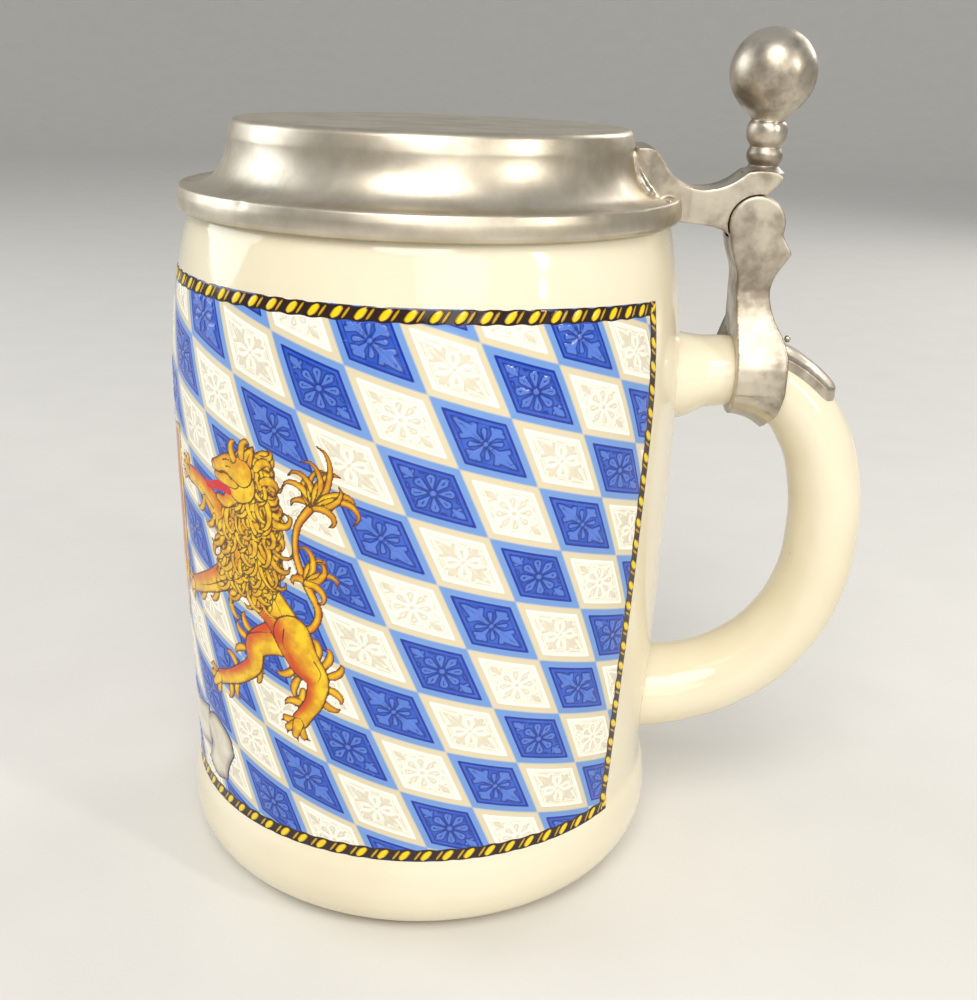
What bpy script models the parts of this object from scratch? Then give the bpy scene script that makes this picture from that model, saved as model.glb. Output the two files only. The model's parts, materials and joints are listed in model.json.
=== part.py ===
"""Half-litre stoneware beer stein with a hinged pewter lid, at real size in metres.

+Z is up, the handle points along +X, and the origin is the middle of the flat underside.
"""
import math

import bmesh
import bpy
from mathutils import Matrix

MM = 0.001
GAP = 0.3 * MM

# Stoneware vessel
BELLY_RADIUS = 47.0 * MM
BELLY_HEIGHT = 91.0 * MM
WAIST_RADIUS = 45.4 * MM
WAIST_HEIGHT = 20.0 * MM
LIP_RADIUS = 42.4 * MM
RIM_HEIGHT = 126.6 * MM
FOOT_RADIUS = 46.9 * MM
FOOT_HEIGHT = 10.5 * MM
BASE_RADIUS = 39.0 * MM
WALL = 5.4 * MM
FLOOR_HEIGHT = 8.0 * MM
TURNED_SEGMENTS = 64

# Transfer panel fired onto the wall, centred opposite the handle
PANEL_BOTTOM = 16.9 * MM
PANEL_TOP = 114.8 * MM
PANEL_HALF_ANGLE = math.radians(147.5)
PANEL_PROUD = 0.15 * MM
PANEL_THICKNESS = 0.3 * MM

# Stoneware handle: centreline in the XZ plane with its half thickness at each point
HANDLE_ROUTE = (
    ((42.0, 95.6), 9.4),
    ((46.5, 95.9), 8.2),
    ((51.5, 96.6), 6.7),
    ((59.0, 96.8), 6.3),
    ((67.2, 93.4), 6.4),
    ((73.2, 86.4), 6.6),
    ((76.8, 76.5), 6.8),
    ((77.8, 65.5), 6.8),
    ((76.4, 54.0), 6.9),
    ((71.2, 43.4), 7.1),
    ((62.8, 35.6), 7.4),
    ((53.4, 31.4), 7.7),
    ((46.5, 30.2), 8.2),
    ((41.5, 29.9), 8.6),
)
HANDLE_WIDTH_RATIO = 1.2

# Pewter lid
LID_TOP = 139.6 * MM
LID_TOP_RADIUS = 35.5 * MM
LID_BAND_RADIUS = 45.0 * MM
LID_BAND_BOTTOM = 124.3 * MM
LID_STEP = 127.7 * MM
LID_WALL = 1.2 * MM
CAVETTO_FOOT = 41.8 * MM
LID_CORNER = 1.3 * MM

# Hinge: the pin runs along Y
HINGE_X = 58.1 * MM
HINGE_Z = 124.5 * MM
CHEEK_RADIUS = 4.9 * MM
CHEEK_HALF_WIDTH = 5.5 * MM
SLOT_HALF_WIDTH = 2.5 * MM
KNUCKLE_RADIUS = 4.5 * MM
PIN_RADIUS = 1.5 * MM
PIN_BORE = 1.6 * MM
PIN_HALF_LENGTH = 4.4 * MM

# Thumb lift
THUMB_X = 58.9 * MM
THUMB_FOOT = 133.4 * MM
BALL_RADIUS = 7.5 * MM
BALL_HEIGHT = 149.8 * MM
BEAD_RADIUS = 3.4 * MM

# Handle mount
BAND_LEFT = 56.5 * MM
BAND_RIGHT = 65.6 * MM
BAND_THICKNESS = 1.5 * MM
TONGUE_THICKNESS = 1.1 * MM
TONGUE_HALF_WIDTH = 5.6 * MM
TONGUE_END = 76.6 * MM


def clear_scene():
    for thing in list(bpy.data.objects):
        bpy.data.objects.remove(thing, do_unlink=True)


def new_collection(name):
    made = bpy.data.collections.new(name)
    bpy.context.scene.collection.children.link(made)
    return made


clear_scene()
PARTS = new_collection("beer_stein")
TOOLS = new_collection("cutters")


def finish(name, colour, roughness, metallic):
    made = bpy.data.materials.new(name)
    made.use_nodes = True
    shader = made.node_tree.nodes["Principled BSDF"]
    shader.inputs["Base Color"].default_value = (*colour, 1.0)
    shader.inputs["Roughness"].default_value = roughness
    shader.inputs["Metallic"].default_value = metallic
    return made


def smooth(mesh):
    mesh.shade_smooth()
    mesh.set_sharp_from_angle(angle=math.radians(32.0))


def place(mesh, name, material=None):
    """Put a mesh in the scene as a part, or as a cutter when it has no material."""
    thing = bpy.data.objects.new(name, mesh)
    if material is None:
        TOOLS.objects.link(thing)
        thing.hide_render = True
        thing.display_type = "WIRE"
    else:
        PARTS.objects.link(thing)
        mesh.materials.append(material)
        smooth(mesh)
    return thing


def profile_mesh(name, points):
    """An open wire in the XZ plane, given as (radius, height) pairs."""
    mesh = bpy.data.meshes.new(name)
    verts = [(x, 0.0, z) for x, z in points]
    mesh.from_pydata(verts, [(i, i + 1) for i in range(len(verts) - 1)], [])
    return mesh


def turn(thing, segments=TURNED_SEGMENTS, angle=math.tau):
    screw = thing.modifiers.new("turn", "SCREW")
    screw.axis = "Z"
    screw.angle = angle
    screw.steps = segments
    screw.render_steps = segments
    screw.use_merge_vertices = angle >= math.tau
    screw.merge_threshold = 0.00001
    screw.use_smooth_shade = True
    return thing


def cut(thing, tool, operation="DIFFERENCE"):
    boolean = thing.modifiers.new(tool.name, "BOOLEAN")
    boolean.object = tool
    boolean.operation = operation
    boolean.solver = "EXACT"


def bake(thing):
    """Replace the object's mesh with its evaluated one, in world space."""
    bpy.context.view_layer.update()
    seen = thing.evaluated_get(bpy.context.evaluated_depsgraph_get())
    mesh = bpy.data.meshes.new_from_object(seen)
    mesh.transform(thing.matrix_world)
    weld = bmesh.new()
    weld.from_mesh(mesh)
    bmesh.ops.remove_doubles(weld, verts=weld.verts, dist=0.00001)
    weld.to_mesh(mesh)
    weld.free()
    name = thing.name
    bpy.data.objects.remove(thing, do_unlink=True)
    return place(mesh, name)


def arc(centre, radius, start, end, steps):
    """Points on an arc in the XZ plane; angles in degrees from +X towards +Z."""
    return [
        (
            centre[0] + radius * math.cos(math.radians(start + (end - start) * i / steps)),
            centre[1] + radius * math.sin(math.radians(start + (end - start) * i / steps)),
        )
        for i in range(steps + 1)
    ]


def plate(name, outline, half_thickness, axis="Y", middle=0.0):
    """A flat outline extruded both ways; its plane is XZ, or YZ when the axis is X, or XY for Z."""
    curve = bpy.data.curves.new(name, "CURVE")
    curve.dimensions = "2D"
    curve.fill_mode = "BOTH"
    curve.extrude = half_thickness
    spline = curve.splines.new("POLY")
    spline.points.add(len(outline) - 1)
    for point, (u, v) in zip(spline.points, outline):
        point.co = (u, v, 0.0, 1.0)
    spline.use_cyclic_u = True
    thing = bpy.data.objects.new(name, curve)
    TOOLS.objects.link(thing)
    turns = {
        "Y": Matrix.Translation((0, middle, 0)) @ Matrix.Rotation(math.pi / 2, 4, "X"),
        "X": Matrix.Rotation(math.pi / 2, 4, "Z") @ Matrix.Rotation(math.pi / 2, 4, "X"),
        "Z": Matrix.Translation((0, 0, middle)),
    }
    thing.matrix_world = turns[axis]
    return bake(thing)


def rod(name, radius, low_y, high_y, x=HINGE_X, z=HINGE_Z, sides=28):
    """A closed cylinder along Y."""
    mesh = bpy.data.meshes.new(name)
    shape = bmesh.new()
    bmesh.ops.create_cone(
        shape,
        cap_ends=True,
        segments=sides,
        radius1=radius,
        radius2=radius,
        depth=high_y - low_y,
        matrix=Matrix.Translation((x, (low_y + high_y) / 2, z)) @ Matrix.Rotation(math.pi / 2, 4, "X"),
    )
    shape.to_mesh(mesh)
    shape.free()
    return place(mesh, name)


def promote(thing, name, material):
    """Turn a finished cutter mesh into a named part."""
    mesh = bake(thing)
    data = mesh.data
    bpy.data.objects.remove(mesh, do_unlink=True)
    return place(data, name, material)


def wall_radius(z):
    """Outside radius of the vessel between the waist and the lip."""
    if z < BELLY_HEIGHT:
        share = (BELLY_HEIGHT - z) / (BELLY_HEIGHT - WAIST_HEIGHT)
        return BELLY_RADIUS - (BELLY_RADIUS - WAIST_RADIUS) * share**1.6
    share = (z - BELLY_HEIGHT) / (RIM_HEIGHT - BELLY_HEIGHT)
    return BELLY_RADIUS - (BELLY_RADIUS - LIP_RADIUS) * share**2.2


def heights(low, high, steps):
    return [low + (high - low) * i / steps for i in range(steps + 1)]


def vessel_outside(grow=0.0):
    """The outer wall from just under the rim down to the foot."""
    wall = [(wall_radius(z) + grow, z) for z in reversed(heights(WAIST_HEIGHT, RIM_HEIGHT - 2.5 * MM, 11))]
    foot = [
        (WAIST_RADIUS + 0.15 * MM + grow, 17.4 * MM),
        (FOOT_RADIUS - 0.45 * MM + grow, 14.6 * MM),
        (FOOT_RADIUS + grow, FOOT_HEIGHT),
        (FOOT_RADIUS - 0.15 * MM + grow, 8.1 * MM),
        (FOOT_RADIUS - 0.75 * MM + grow, 5.8 * MM),
        (FOOT_RADIUS - 2.0 * MM + grow, 3.6 * MM),
        (FOOT_RADIUS - 3.8 * MM + grow, 1.9 * MM),
        (FOOT_RADIUS - 5.8 * MM + grow, 0.6 * MM),
    ]
    return wall + foot


def panel_sheet(name, radius_offset, margin=0.0):
    """The panel's curved sheet, symmetric about the side opposite the handle."""
    rows = reversed(heights(PANEL_BOTTOM - margin, PANEL_TOP + margin, 9))
    points = [(wall_radius(max(z, WAIST_HEIGHT)) + radius_offset, z) for z in rows]
    half_angle = PANEL_HALF_ANGLE + margin / BELLY_RADIUS
    thing = bpy.data.objects.new(name, profile_mesh(name, points))
    TOOLS.objects.link(thing)
    thing.rotation_euler.z = math.pi - half_angle
    return turn(thing, segments=54, angle=2 * half_angle)


def thicken(thing, thickness, offset):
    solid = thing.modifiers.new("thickness", "SOLIDIFY")
    solid.thickness = thickness
    solid.offset = offset
    solid.use_rim = True


def make_vessel(material):
    inside = [
        (0.0, FLOOR_HEIGHT),
        (33.0 * MM, FLOOR_HEIGHT),
        (37.4 * MM, FLOOR_HEIGHT + 1.2 * MM),
        (39.6 * MM, FLOOR_HEIGHT + 4.6 * MM),
    ]
    inside += [(wall_radius(z) - WALL, z) for z in heights(24.0 * MM, RIM_HEIGHT - 2.4 * MM, 6)]
    rim_middle = LIP_RADIUS - WALL / 2
    rim = [(rim_middle + x, z) for x, z in arc((0.0, RIM_HEIGHT - 2.4 * MM), 2.4 * MM, 150, 30, 4)]
    underside = [(BASE_RADIUS, 0.0), (0.0, 0.0)]
    points = inside + rim + vessel_outside() + underside
    body = turn(place(profile_mesh("vessel_blank", points), "vessel_blank"))
    pocket = panel_sheet("panel_pocket", PANEL_PROUD - PANEL_THICKNESS - GAP, GAP)
    thicken(pocket, 6.0 * MM, 1.0)
    cut(body, bake(pocket))
    return promote(body, "vessel", material)


def make_panel(material):
    sheet = panel_sheet("panel_sheet", PANEL_PROUD)
    thicken(sheet, PANEL_THICKNESS, -1.0)
    return promote(sheet, "transfer_panel", material)


def handle_tube(name, grow, first=0, last=None):
    """The handle's tube, wider than thick, or a stretch of it between two route points."""
    route = HANDLE_ROUTE[first:last]
    curve = bpy.data.curves.new(name, "CURVE")
    curve.dimensions = "3D"
    curve.bevel_depth = 1.0 * MM
    curve.bevel_resolution = 4
    curve.resolution_u = 3
    curve.use_fill_caps = True
    spline = curve.splines.new("BEZIER")
    spline.bezier_points.add(len(route) - 1)
    for point, ((x, z), half) in zip(spline.bezier_points, route):
        point.co = (x * MM, 0.0, z * MM)
        point.radius = half + grow / MM
        point.handle_left_type = "AUTO"
        point.handle_right_type = "AUTO"
    thing = bpy.data.objects.new(name, curve)
    TOOLS.objects.link(thing)
    thing.scale.y = HANDLE_WIDTH_RATIO
    return bake(thing)


def make_handle(material):
    handle = handle_tube("handle_blank", 0.0)
    points = [(0.0, RIM_HEIGHT)] + vessel_outside(GAP) + [(0.0, 0.8 * MM)]
    cut(handle, bake(turn(place(profile_mesh("vessel_clear", points), "vessel_clear"))))
    return promote(handle, "handle", material)


def lid_outside(grow=0.0):
    """The lid's outer side, from the edge of the flat top down to the band's lower edge."""
    corner = (LID_TOP_RADIUS - LID_CORNER, LID_TOP - LID_CORNER)
    points = [(x, z) for x, z in arc(corner, LID_CORNER + grow, 90, 10, 3)]
    waist = 36.1 * MM
    width = CAVETTO_FOOT - waist
    height = 136.8 * MM - (LID_STEP + 0.8 * MM)
    for step in range(6):
        angle = math.radians(180 + 90 * step / 5)
        points.append(
            (
                CAVETTO_FOOT + width * math.cos(angle) + grow,
                136.8 * MM + height * math.sin(angle) + grow,
            )
        )
    points += [
        (43.4 * MM + grow, LID_STEP + 0.6 * MM + grow),
        (44.6 * MM + grow, LID_STEP - 0.2 * MM),
        (LID_BAND_RADIUS + grow, LID_STEP - 1.4 * MM),
        (LID_BAND_RADIUS + grow, LID_BAND_BOTTOM + 1.2 * MM),
        (44.6 * MM + grow, LID_BAND_BOTTOM),
    ]
    return points


def make_lid(material):
    underside = LID_TOP - LID_WALL
    inside = [
        (43.5 * MM, LID_BAND_BOTTOM),
        (43.4 * MM, LID_STEP - 1.5 * MM),
        (42.6 * MM, LID_STEP - 1.1 * MM),
        (38.4 * MM, LID_STEP - 0.6 * MM),
        (36.4 * MM, 131.0 * MM),
        (35.0 * MM, 135.0 * MM),
        (33.8 * MM, underside),
        (0.0, underside),
    ]
    points = [(0.0, LID_TOP)] + lid_outside() + inside
    lid = turn(place(profile_mesh("lid_blank", points), "lid_blank"))
    return promote(lid, "lid", material)


def lid_clearance():
    points = [(0.0, LID_TOP + GAP)] + lid_outside(GAP) + [(0.0, LID_BAND_BOTTOM)]
    return bake(turn(place(profile_mesh("lid_clear", points), "lid_clear")))


def arm_outline():
    """The lid arm from the side: pad on the lid, dip, hood over the hinge, knuckle round the pin."""
    top = [(36.0, 131.0), (36.5, 136.6), (39.6, 136.4), (41.6, 133.9), (44.2, 131.4)]
    top += [(47.0, 130.3), (50.0, 130.4), (52.8, 131.4), (55.6, 133.2)]
    top += [(60.8, 133.2), (61.9, 132.4), (61.0, 131.2), (59.5, 129.8)]
    knuckle = arc((HINGE_X, HINGE_Z), KNUCKLE_RADIUS, 72, -145, 16)
    bottom = [(52.4, 122.6), (50.0, 123.8), (45.0, 124.2)]
    scaled = [[(x * MM, z * MM) for x, z in part] for part in (top, bottom)]
    return scaled[0] + knuckle + scaled[1]


def make_arm(material):
    arm = plate("arm_blank", arm_outline(), 8.0 * MM)
    plan = [(34.0, -7.6), (43.0, -7.0), (48.0, -5.1), (64.0, -5.1)]
    plan += [(x, -y) for x, y in reversed(plan)]
    cut(arm, plate("arm_plan", [(x * MM, y * MM) for x, y in plan], 20.0 * MM, "Z", 128.0 * MM), "INTERSECT")
    for side in (-1, 1):
        ends = sorted((side * (SLOT_HALF_WIDTH - GAP), side * 9.0 * MM))
        cut(arm, rod(f"cheek_clear_{side}", CHEEK_RADIUS + GAP, *ends, sides=40))
    cut(arm, rod("knuckle_bore", PIN_BORE, -9.0 * MM, 9.0 * MM))
    cut(arm, lid_clearance())
    return promote(arm, "lid_arm", material)


def make_thumb_lift(material):
    """A ball that runs down into a neck, over two beads."""
    foot = THUMB_FOOT + GAP
    neck = 142.7 * MM
    ball = arc((0.0, BALL_HEIGHT), BALL_RADIUS, 90, -38, 9)
    points = ball + [
        (4.6 * MM, 144.2 * MM),
        (3.3 * MM, neck),
        (2.9 * MM, neck - 0.4 * MM),
    ]
    for middle, half in ((140.0 * MM, 2.2 * MM), (135.8 * MM, 1.6 * MM)):
        for step in range(5):
            angle = math.radians(60 - 30 * step)
            swell = BEAD_RADIUS - (2.2 * MM - half)
            points.append((swell - 1.0 * MM + 1.0 * MM * math.cos(angle), middle + half * math.sin(angle)))
    points += [(2.9 * MM, foot), (0.0, foot)]
    points[0] = (0.0, BALL_HEIGHT + BALL_RADIUS)
    thumb = turn(place(profile_mesh("thumb_blank", points), "thumb_blank"), segments=24)
    thumb.location.x = THUMB_X
    return promote(thumb, "thumb_lift", material)


def fork_outline():
    """The mount from the side: hinge disc, stop nub, neck and the foot that meets the band."""
    disc = arc((HINGE_X, HINGE_Z), CHEEK_RADIUS, -20, 200, 16)
    left = [(54.0, 119.8), (55.3, 115.6), (55.5, 112.0), (56.0, 106.0), (56.5, 100.0), (56.5, 95.0)]
    right = [(65.6, 95.0), (65.6, 101.5), (64.3, 104.6), (62.4, 108.2), (61.6, 112.0)]
    right += [(62.3, 115.4), (63.6, 117.6), (64.7, 119.4), (63.9, 121.0)]
    return disc + [(x * MM, z * MM) for x, z in left + right]


def fork_front():
    """The mount seen along the handle: parallel cheeks that spread to straddle the handle."""
    side = [(9.3, 90.0), (9.3, 97.0), (8.9, 101.0), (7.6, 106.0), (5.5, 112.4), (5.5, 130.0)]
    both = side + [(-y, z) for y, z in reversed(side)]
    return [(y * MM, z * MM) for y, z in both]


def make_mount(material):
    fork = plate("fork_blank", fork_outline(), 12.0 * MM)
    cut(fork, plate("fork_front", fork_front(), 90.0 * MM, "X"), "INTERSECT")
    sleeve = handle_tube("band_sleeve", BAND_THICKNESS + GAP, 2, 6)
    span = [
        (BAND_LEFT, 80.0 * MM),
        (BAND_RIGHT - 4.0 * MM, 80.0 * MM),
        (BAND_RIGHT - 2.0 * MM, 88.5 * MM),
        (BAND_RIGHT, 94.0 * MM),
        (BAND_RIGHT, 110.0 * MM),
        (BAND_LEFT, 110.0 * MM),
    ]
    cut(sleeve, plate("band_span", span, 20.0 * MM), "INTERSECT")
    cut(fork, bake(sleeve), "UNION")
    strip = handle_tube("tongue_sleeve", TONGUE_THICKNESS + GAP, 2, 7)
    plan = [(60.0 * MM, -TONGUE_HALF_WIDTH), (60.0 * MM, TONGUE_HALF_WIDTH)]
    plan += [
        (TONGUE_END - 3.6 * MM + 3.6 * MM * math.cos(a), TONGUE_HALF_WIDTH * math.sin(a))
        for a in (math.radians(90 - 22.5 * i) for i in range(9))
    ]
    cut(strip, plate("tongue_plan", plan, 9.0 * MM, "Z", 100.5 * MM), "INTERSECT")
    cut(fork, bake(strip), "UNION")
    cut(fork, handle_tube("handle_clear", GAP, 1, 9))
    cut(fork, plate("slot", slot_outline(), SLOT_HALF_WIDTH))
    cut(fork, rod("mount_bore", PIN_BORE, -9.0 * MM, 9.0 * MM))
    return promote(fork, "handle_mount", material)


def slot_outline():
    """Room between the cheeks for the knuckle, open at the top."""
    reach = KNUCKLE_RADIUS + 0.6 * MM
    bottom = arc((HINGE_X, HINGE_Z), reach, -170, -10, 12)
    return bottom + [(70.0 * MM, 126.0 * MM), (70.0 * MM, 134.0 * MM), (46.0 * MM, 134.0 * MM), (46.0 * MM, 120.0 * MM)]


def make_pin(material):
    return promote(rod("pin_blank", PIN_RADIUS, -PIN_HALF_LENGTH, PIN_HALF_LENGTH), "hinge_pin", material)


def make_plugs(material):
    """Pewter plugs that close the pin's bore in both cheeks."""
    start = PIN_HALF_LENGTH + GAP
    for name, low, high in (
        ("pin_plug_right", -CHEEK_HALF_WIDTH, -start),
        ("pin_plug_left", start, CHEEK_HALF_WIDTH),
    ):
        promote(rod(name + "_blank", PIN_BORE - GAP, low, high), name, material)


GLAZE = finish("ivory_glaze", (0.80, 0.74, 0.58), 0.12, 0.0)
TRANSFER = finish("blue_white_transfer", (0.16, 0.27, 0.62), 0.2, 0.0)
PEWTER = finish("satin_pewter", (0.56, 0.52, 0.46), 0.34, 1.0)
STEEL = finish("pin_steel", (0.45, 0.45, 0.46), 0.3, 1.0)

make_vessel(GLAZE)
make_handle(GLAZE)
make_panel(TRANSFER)
make_lid(PEWTER)
make_arm(PEWTER)
make_thumb_lift(PEWTER)
make_mount(PEWTER)
make_pin(STEEL)
make_plugs(PEWTER)
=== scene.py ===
"""Looks of the half-litre beer stein: glazed stoneware, relief transfer and cast pewter.

Lengths are metres unless a name or comment says millimetres. +X is the handle side.
"""
import json
import math

import bmesh
import bpy
import numpy as np
from mathutils import Matrix, Vector


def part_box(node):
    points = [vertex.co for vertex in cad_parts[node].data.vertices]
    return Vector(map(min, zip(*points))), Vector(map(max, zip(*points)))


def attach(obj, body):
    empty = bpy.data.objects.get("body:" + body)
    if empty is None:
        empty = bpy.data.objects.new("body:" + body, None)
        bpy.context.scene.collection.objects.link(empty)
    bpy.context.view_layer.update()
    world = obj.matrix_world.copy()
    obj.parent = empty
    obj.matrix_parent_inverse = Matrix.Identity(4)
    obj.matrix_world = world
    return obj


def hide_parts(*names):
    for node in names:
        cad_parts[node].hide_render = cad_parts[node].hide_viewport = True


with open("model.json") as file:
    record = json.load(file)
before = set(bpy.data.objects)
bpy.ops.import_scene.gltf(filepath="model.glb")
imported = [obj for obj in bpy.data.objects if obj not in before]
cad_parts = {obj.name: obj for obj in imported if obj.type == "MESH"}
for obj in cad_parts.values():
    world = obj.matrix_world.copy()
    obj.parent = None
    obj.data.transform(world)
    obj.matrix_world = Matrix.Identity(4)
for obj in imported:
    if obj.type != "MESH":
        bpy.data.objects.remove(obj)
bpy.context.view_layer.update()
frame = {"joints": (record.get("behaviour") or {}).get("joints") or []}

MM = 0.001
rng = np.random.default_rng(7)

# ---------------------------------------------------------------- sizes from the frame
VESSEL_LOW, VESSEL_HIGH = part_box("vessel")
LID_LOW, LID_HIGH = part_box("lid")
BELLY = (VESSEL_HIGH.y - VESSEL_LOW.y) / 2 + 0.1 * MM
RIM = VESSEL_HIGH.z
BELLY_HEIGHT = 91.0 * MM
WAIST = BELLY - 1.6 * MM
WAIST_HEIGHT = 20.0 * MM
LIP = BELLY - 4.6 * MM
FOOT = BELLY - 0.1 * MM
WALL = 5.4 * MM
FLOOR = 8.0 * MM
BASE = 39.0 * MM
HINGE = Vector(frame["joints"][0]["pos_m"])
LID_TOP = LID_HIGH.z
LID_BOTTOM = LID_LOW.z
LID_RADIUS = LID_HIGH.x
# The lid's hollow: radius and height of its foot and of its waist
CAVETTO = (41.8 * MM, 36.1 * MM, 136.8 * MM, 128.45 * MM)


# ---------------------------------------------------------------- mesh helpers
def add_piece(name, mesh, material, body, replaced=()):
    piece = bpy.data.objects.new(name, mesh)
    bpy.context.scene.collection.objects.link(piece)
    if material is not None:
        mesh.materials.clear()
        mesh.materials.append(material)
    mesh.shade_smooth()
    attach(piece, body)
    if replaced:
        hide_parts(*replaced)
    return piece


def mesh_from(verts, faces, name):
    mesh = bpy.data.meshes.new(name)
    mesh.from_pydata(verts, [], faces)
    mesh.validate()
    mesh.update()
    return mesh


def turned(name, profile, segments=256):
    """A closed solid turned about Z from (radius, height) points; both ends lie on the axis."""
    angles = np.linspace(0, math.tau, segments, endpoint=False)
    inner = np.array(profile[1:-1])
    ring = np.stack([np.cos(angles), np.sin(angles)], 1)
    rings = [np.c_[ring * r, np.full(segments, z)] for r, z in inner]
    verts = [tuple(p) for r in rings for p in r]
    verts += [(0.0, 0.0, profile[0][1]), (0.0, 0.0, profile[-1][1])]
    first, last = len(verts) - 2, len(verts) - 1
    faces = []
    for row in range(len(inner) - 1):
        for k in range(segments):
            a, b = row * segments + k, row * segments + (k + 1) % segments
            faces.append((a, a + segments, b + segments, b))
    top = (len(inner) - 1) * segments
    for k in range(segments):
        faces.append((first, k, (k + 1) % segments))
        faces.append((last, top + (k + 1) % segments, top + k))
    return mesh_from(verts, faces, name)


def smooth_line(points, steps):
    """Points on a Catmull-Rom curve through the given ones."""
    points = [np.array(p, float) for p in points]
    ends = [2 * points[0] - points[1]] + points + [2 * points[-1] - points[-2]]
    out = []
    for i in range(1, len(ends) - 2):
        p0, p1, p2, p3 = ends[i - 1 : i + 3]
        for k in range(steps):
            t = k / steps
            out.append(
                0.5 * (2 * p1 + (p2 - p0) * t + (2 * p0 - 5 * p1 + 4 * p2 - p3) * t**2
                       + (3 * p1 - p0 - 3 * p2 + p3) * t**3)
            )
    out.append(points[-1])
    return out


def arc(centre, radius, start, end, steps):
    angles = [math.radians(start + (end - start) * i / steps) for i in range(steps + 1)]
    return [(centre[0] + radius * math.cos(a), centre[1] + radius * math.sin(a)) for a in angles]


def spread(low, high, steps):
    return [low + (high - low) * i / steps for i in range(steps + 1)]


# ---------------------------------------------------------------- shader helpers
class Paint:
    """A node tree with short calls for adding and wiring nodes."""

    def __init__(self, tree):
        self.tree = tree

    def node(self, kind, inputs=None, **settings):
        made = self.tree.nodes.new(kind)
        for key, value in settings.items():
            setattr(made, key, value)
        for key, value in (inputs or {}).items():
            socket = made.inputs[key]
            if isinstance(value, bpy.types.NodeSocket):
                self.tree.links.new(value, socket)
            else:
                socket.default_value = value
        return made

    def math(self, operation, a, b):
        return self.node("ShaderNodeMath", {0: a, 1: b}, operation=operation).outputs[0]

    def ramp(self, value, low, high, out_low=0.0, out_high=1.0):
        made = self.node(
            "ShaderNodeMapRange",
            {"Value": value, "From Min": low, "From Max": high, "To Min": out_low, "To Max": out_high},
            interpolation_type="SMOOTHSTEP",
        )
        return made.outputs["Result"]

    def mix(self, share, a, b):
        """Colour a where the share is 0, and b where it is 1."""
        return self.node("ShaderNodeMix", {0: share, 6: a, 7: b}, data_type="RGBA").outputs[2]

    def noise(self, vector, scale, detail=3.0, roughness=0.5):
        made = self.node(
            "ShaderNodeTexNoise",
            {"Vector": vector, "Scale": scale, "Detail": detail, "Roughness": roughness},
        )
        return made.outputs["Fac"]

    def attribute(self, name):
        return self.node("ShaderNodeAttribute", attribute_name=name).outputs["Fac"]

    def place(self):
        return self.node("ShaderNodeTexCoord").outputs["Object"]

    def bump(self, height, strength, distance, normal=None):
        inputs = {"Height": height, "Strength": strength, "Distance": distance}
        if normal is not None:
            inputs["Normal"] = normal
        return self.node("ShaderNodeBump", inputs).outputs["Normal"]


def rgb(r, g, b):
    """A colour given as it looks on a screen, 0 to 255."""
    linear = [((c / 255 + 0.055) / 1.055) ** 2.4 if c > 10 else c / 255 / 12.92 for c in (r, g, b)]
    return (*linear, 1.0)


def material(name):
    made = bpy.data.materials.new(name)
    made.use_nodes = True
    made.node_tree.nodes.clear()
    paint = Paint(made.node_tree)
    shader = paint.node("ShaderNodeBsdfPrincipled")
    output = paint.node("ShaderNodeOutputMaterial")
    made.node_tree.links.new(shader.outputs[0], output.inputs[0])
    return made, paint, shader


def wire(paint, shader, **sockets):
    names = {
        "colour": "Base Color", "roughness": "Roughness", "metallic": "Metallic", "normal": "Normal",
        "specular": "Specular IOR Level", "ior": "IOR", "subsurface": "Subsurface Weight",
        "subsurface_scale": "Subsurface Scale", "subsurface_radius": "Subsurface Radius",
    }
    for key, value in sockets.items():
        socket = shader.inputs[names[key]]
        if isinstance(value, bpy.types.NodeSocket):
            paint.tree.links.new(value, socket)
        else:
            socket.default_value = value


def group(name, inputs, outputs):
    tree = bpy.data.node_groups.new(name, "ShaderNodeTree")
    for label, value in inputs:
        kind = "NodeSocketVector" if value is None else "NodeSocketFloat"
        socket = tree.interface.new_socket(label, in_out="INPUT", socket_type=kind)
        if value is not None:
            socket.default_value = value
    for label in outputs:
        tree.interface.new_socket(label, in_out="OUTPUT", socket_type="NodeSocketFloat")
    paint = Paint(tree)
    return tree, paint, paint.node("NodeGroupInput").outputs, paint.node("NodeGroupOutput").inputs


def glaze_skin_group():
    """The glaze's slight waviness, specks of iron and cloudy tone."""
    tree, paint, given, out = group(
        "glaze_skin",
        [("Place", None), ("Wave Size", 90.0), ("Speck Share", 0.5)],
        ["Height", "Cloud", "Speck"],
    )
    waves = paint.noise(given["Place"], given["Wave Size"], 2.0, 0.4)
    fine = paint.noise(given["Place"], 900.0, 2.0, 0.5)
    height = paint.math("ADD", waves, paint.math("MULTIPLY", fine, 0.05))
    cloud = paint.noise(given["Place"], 26.0, 3.0, 0.55)
    cells = paint.node("ShaderNodeTexVoronoi", {"Vector": given["Place"], "Scale": 230.0}).outputs
    dot = paint.ramp(cells["Distance"], 0.10, 0.03)
    chosen = paint.ramp(paint.noise(given["Place"], 190.0, 0.0), 0.68, 0.74)
    speck = paint.math("MULTIPLY", paint.math("MULTIPLY", dot, chosen), given["Speck Share"])
    paint.tree.links.new(height, out["Height"])
    paint.tree.links.new(cloud, out["Cloud"])
    paint.tree.links.new(speck, out["Speck"])
    return tree


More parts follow.
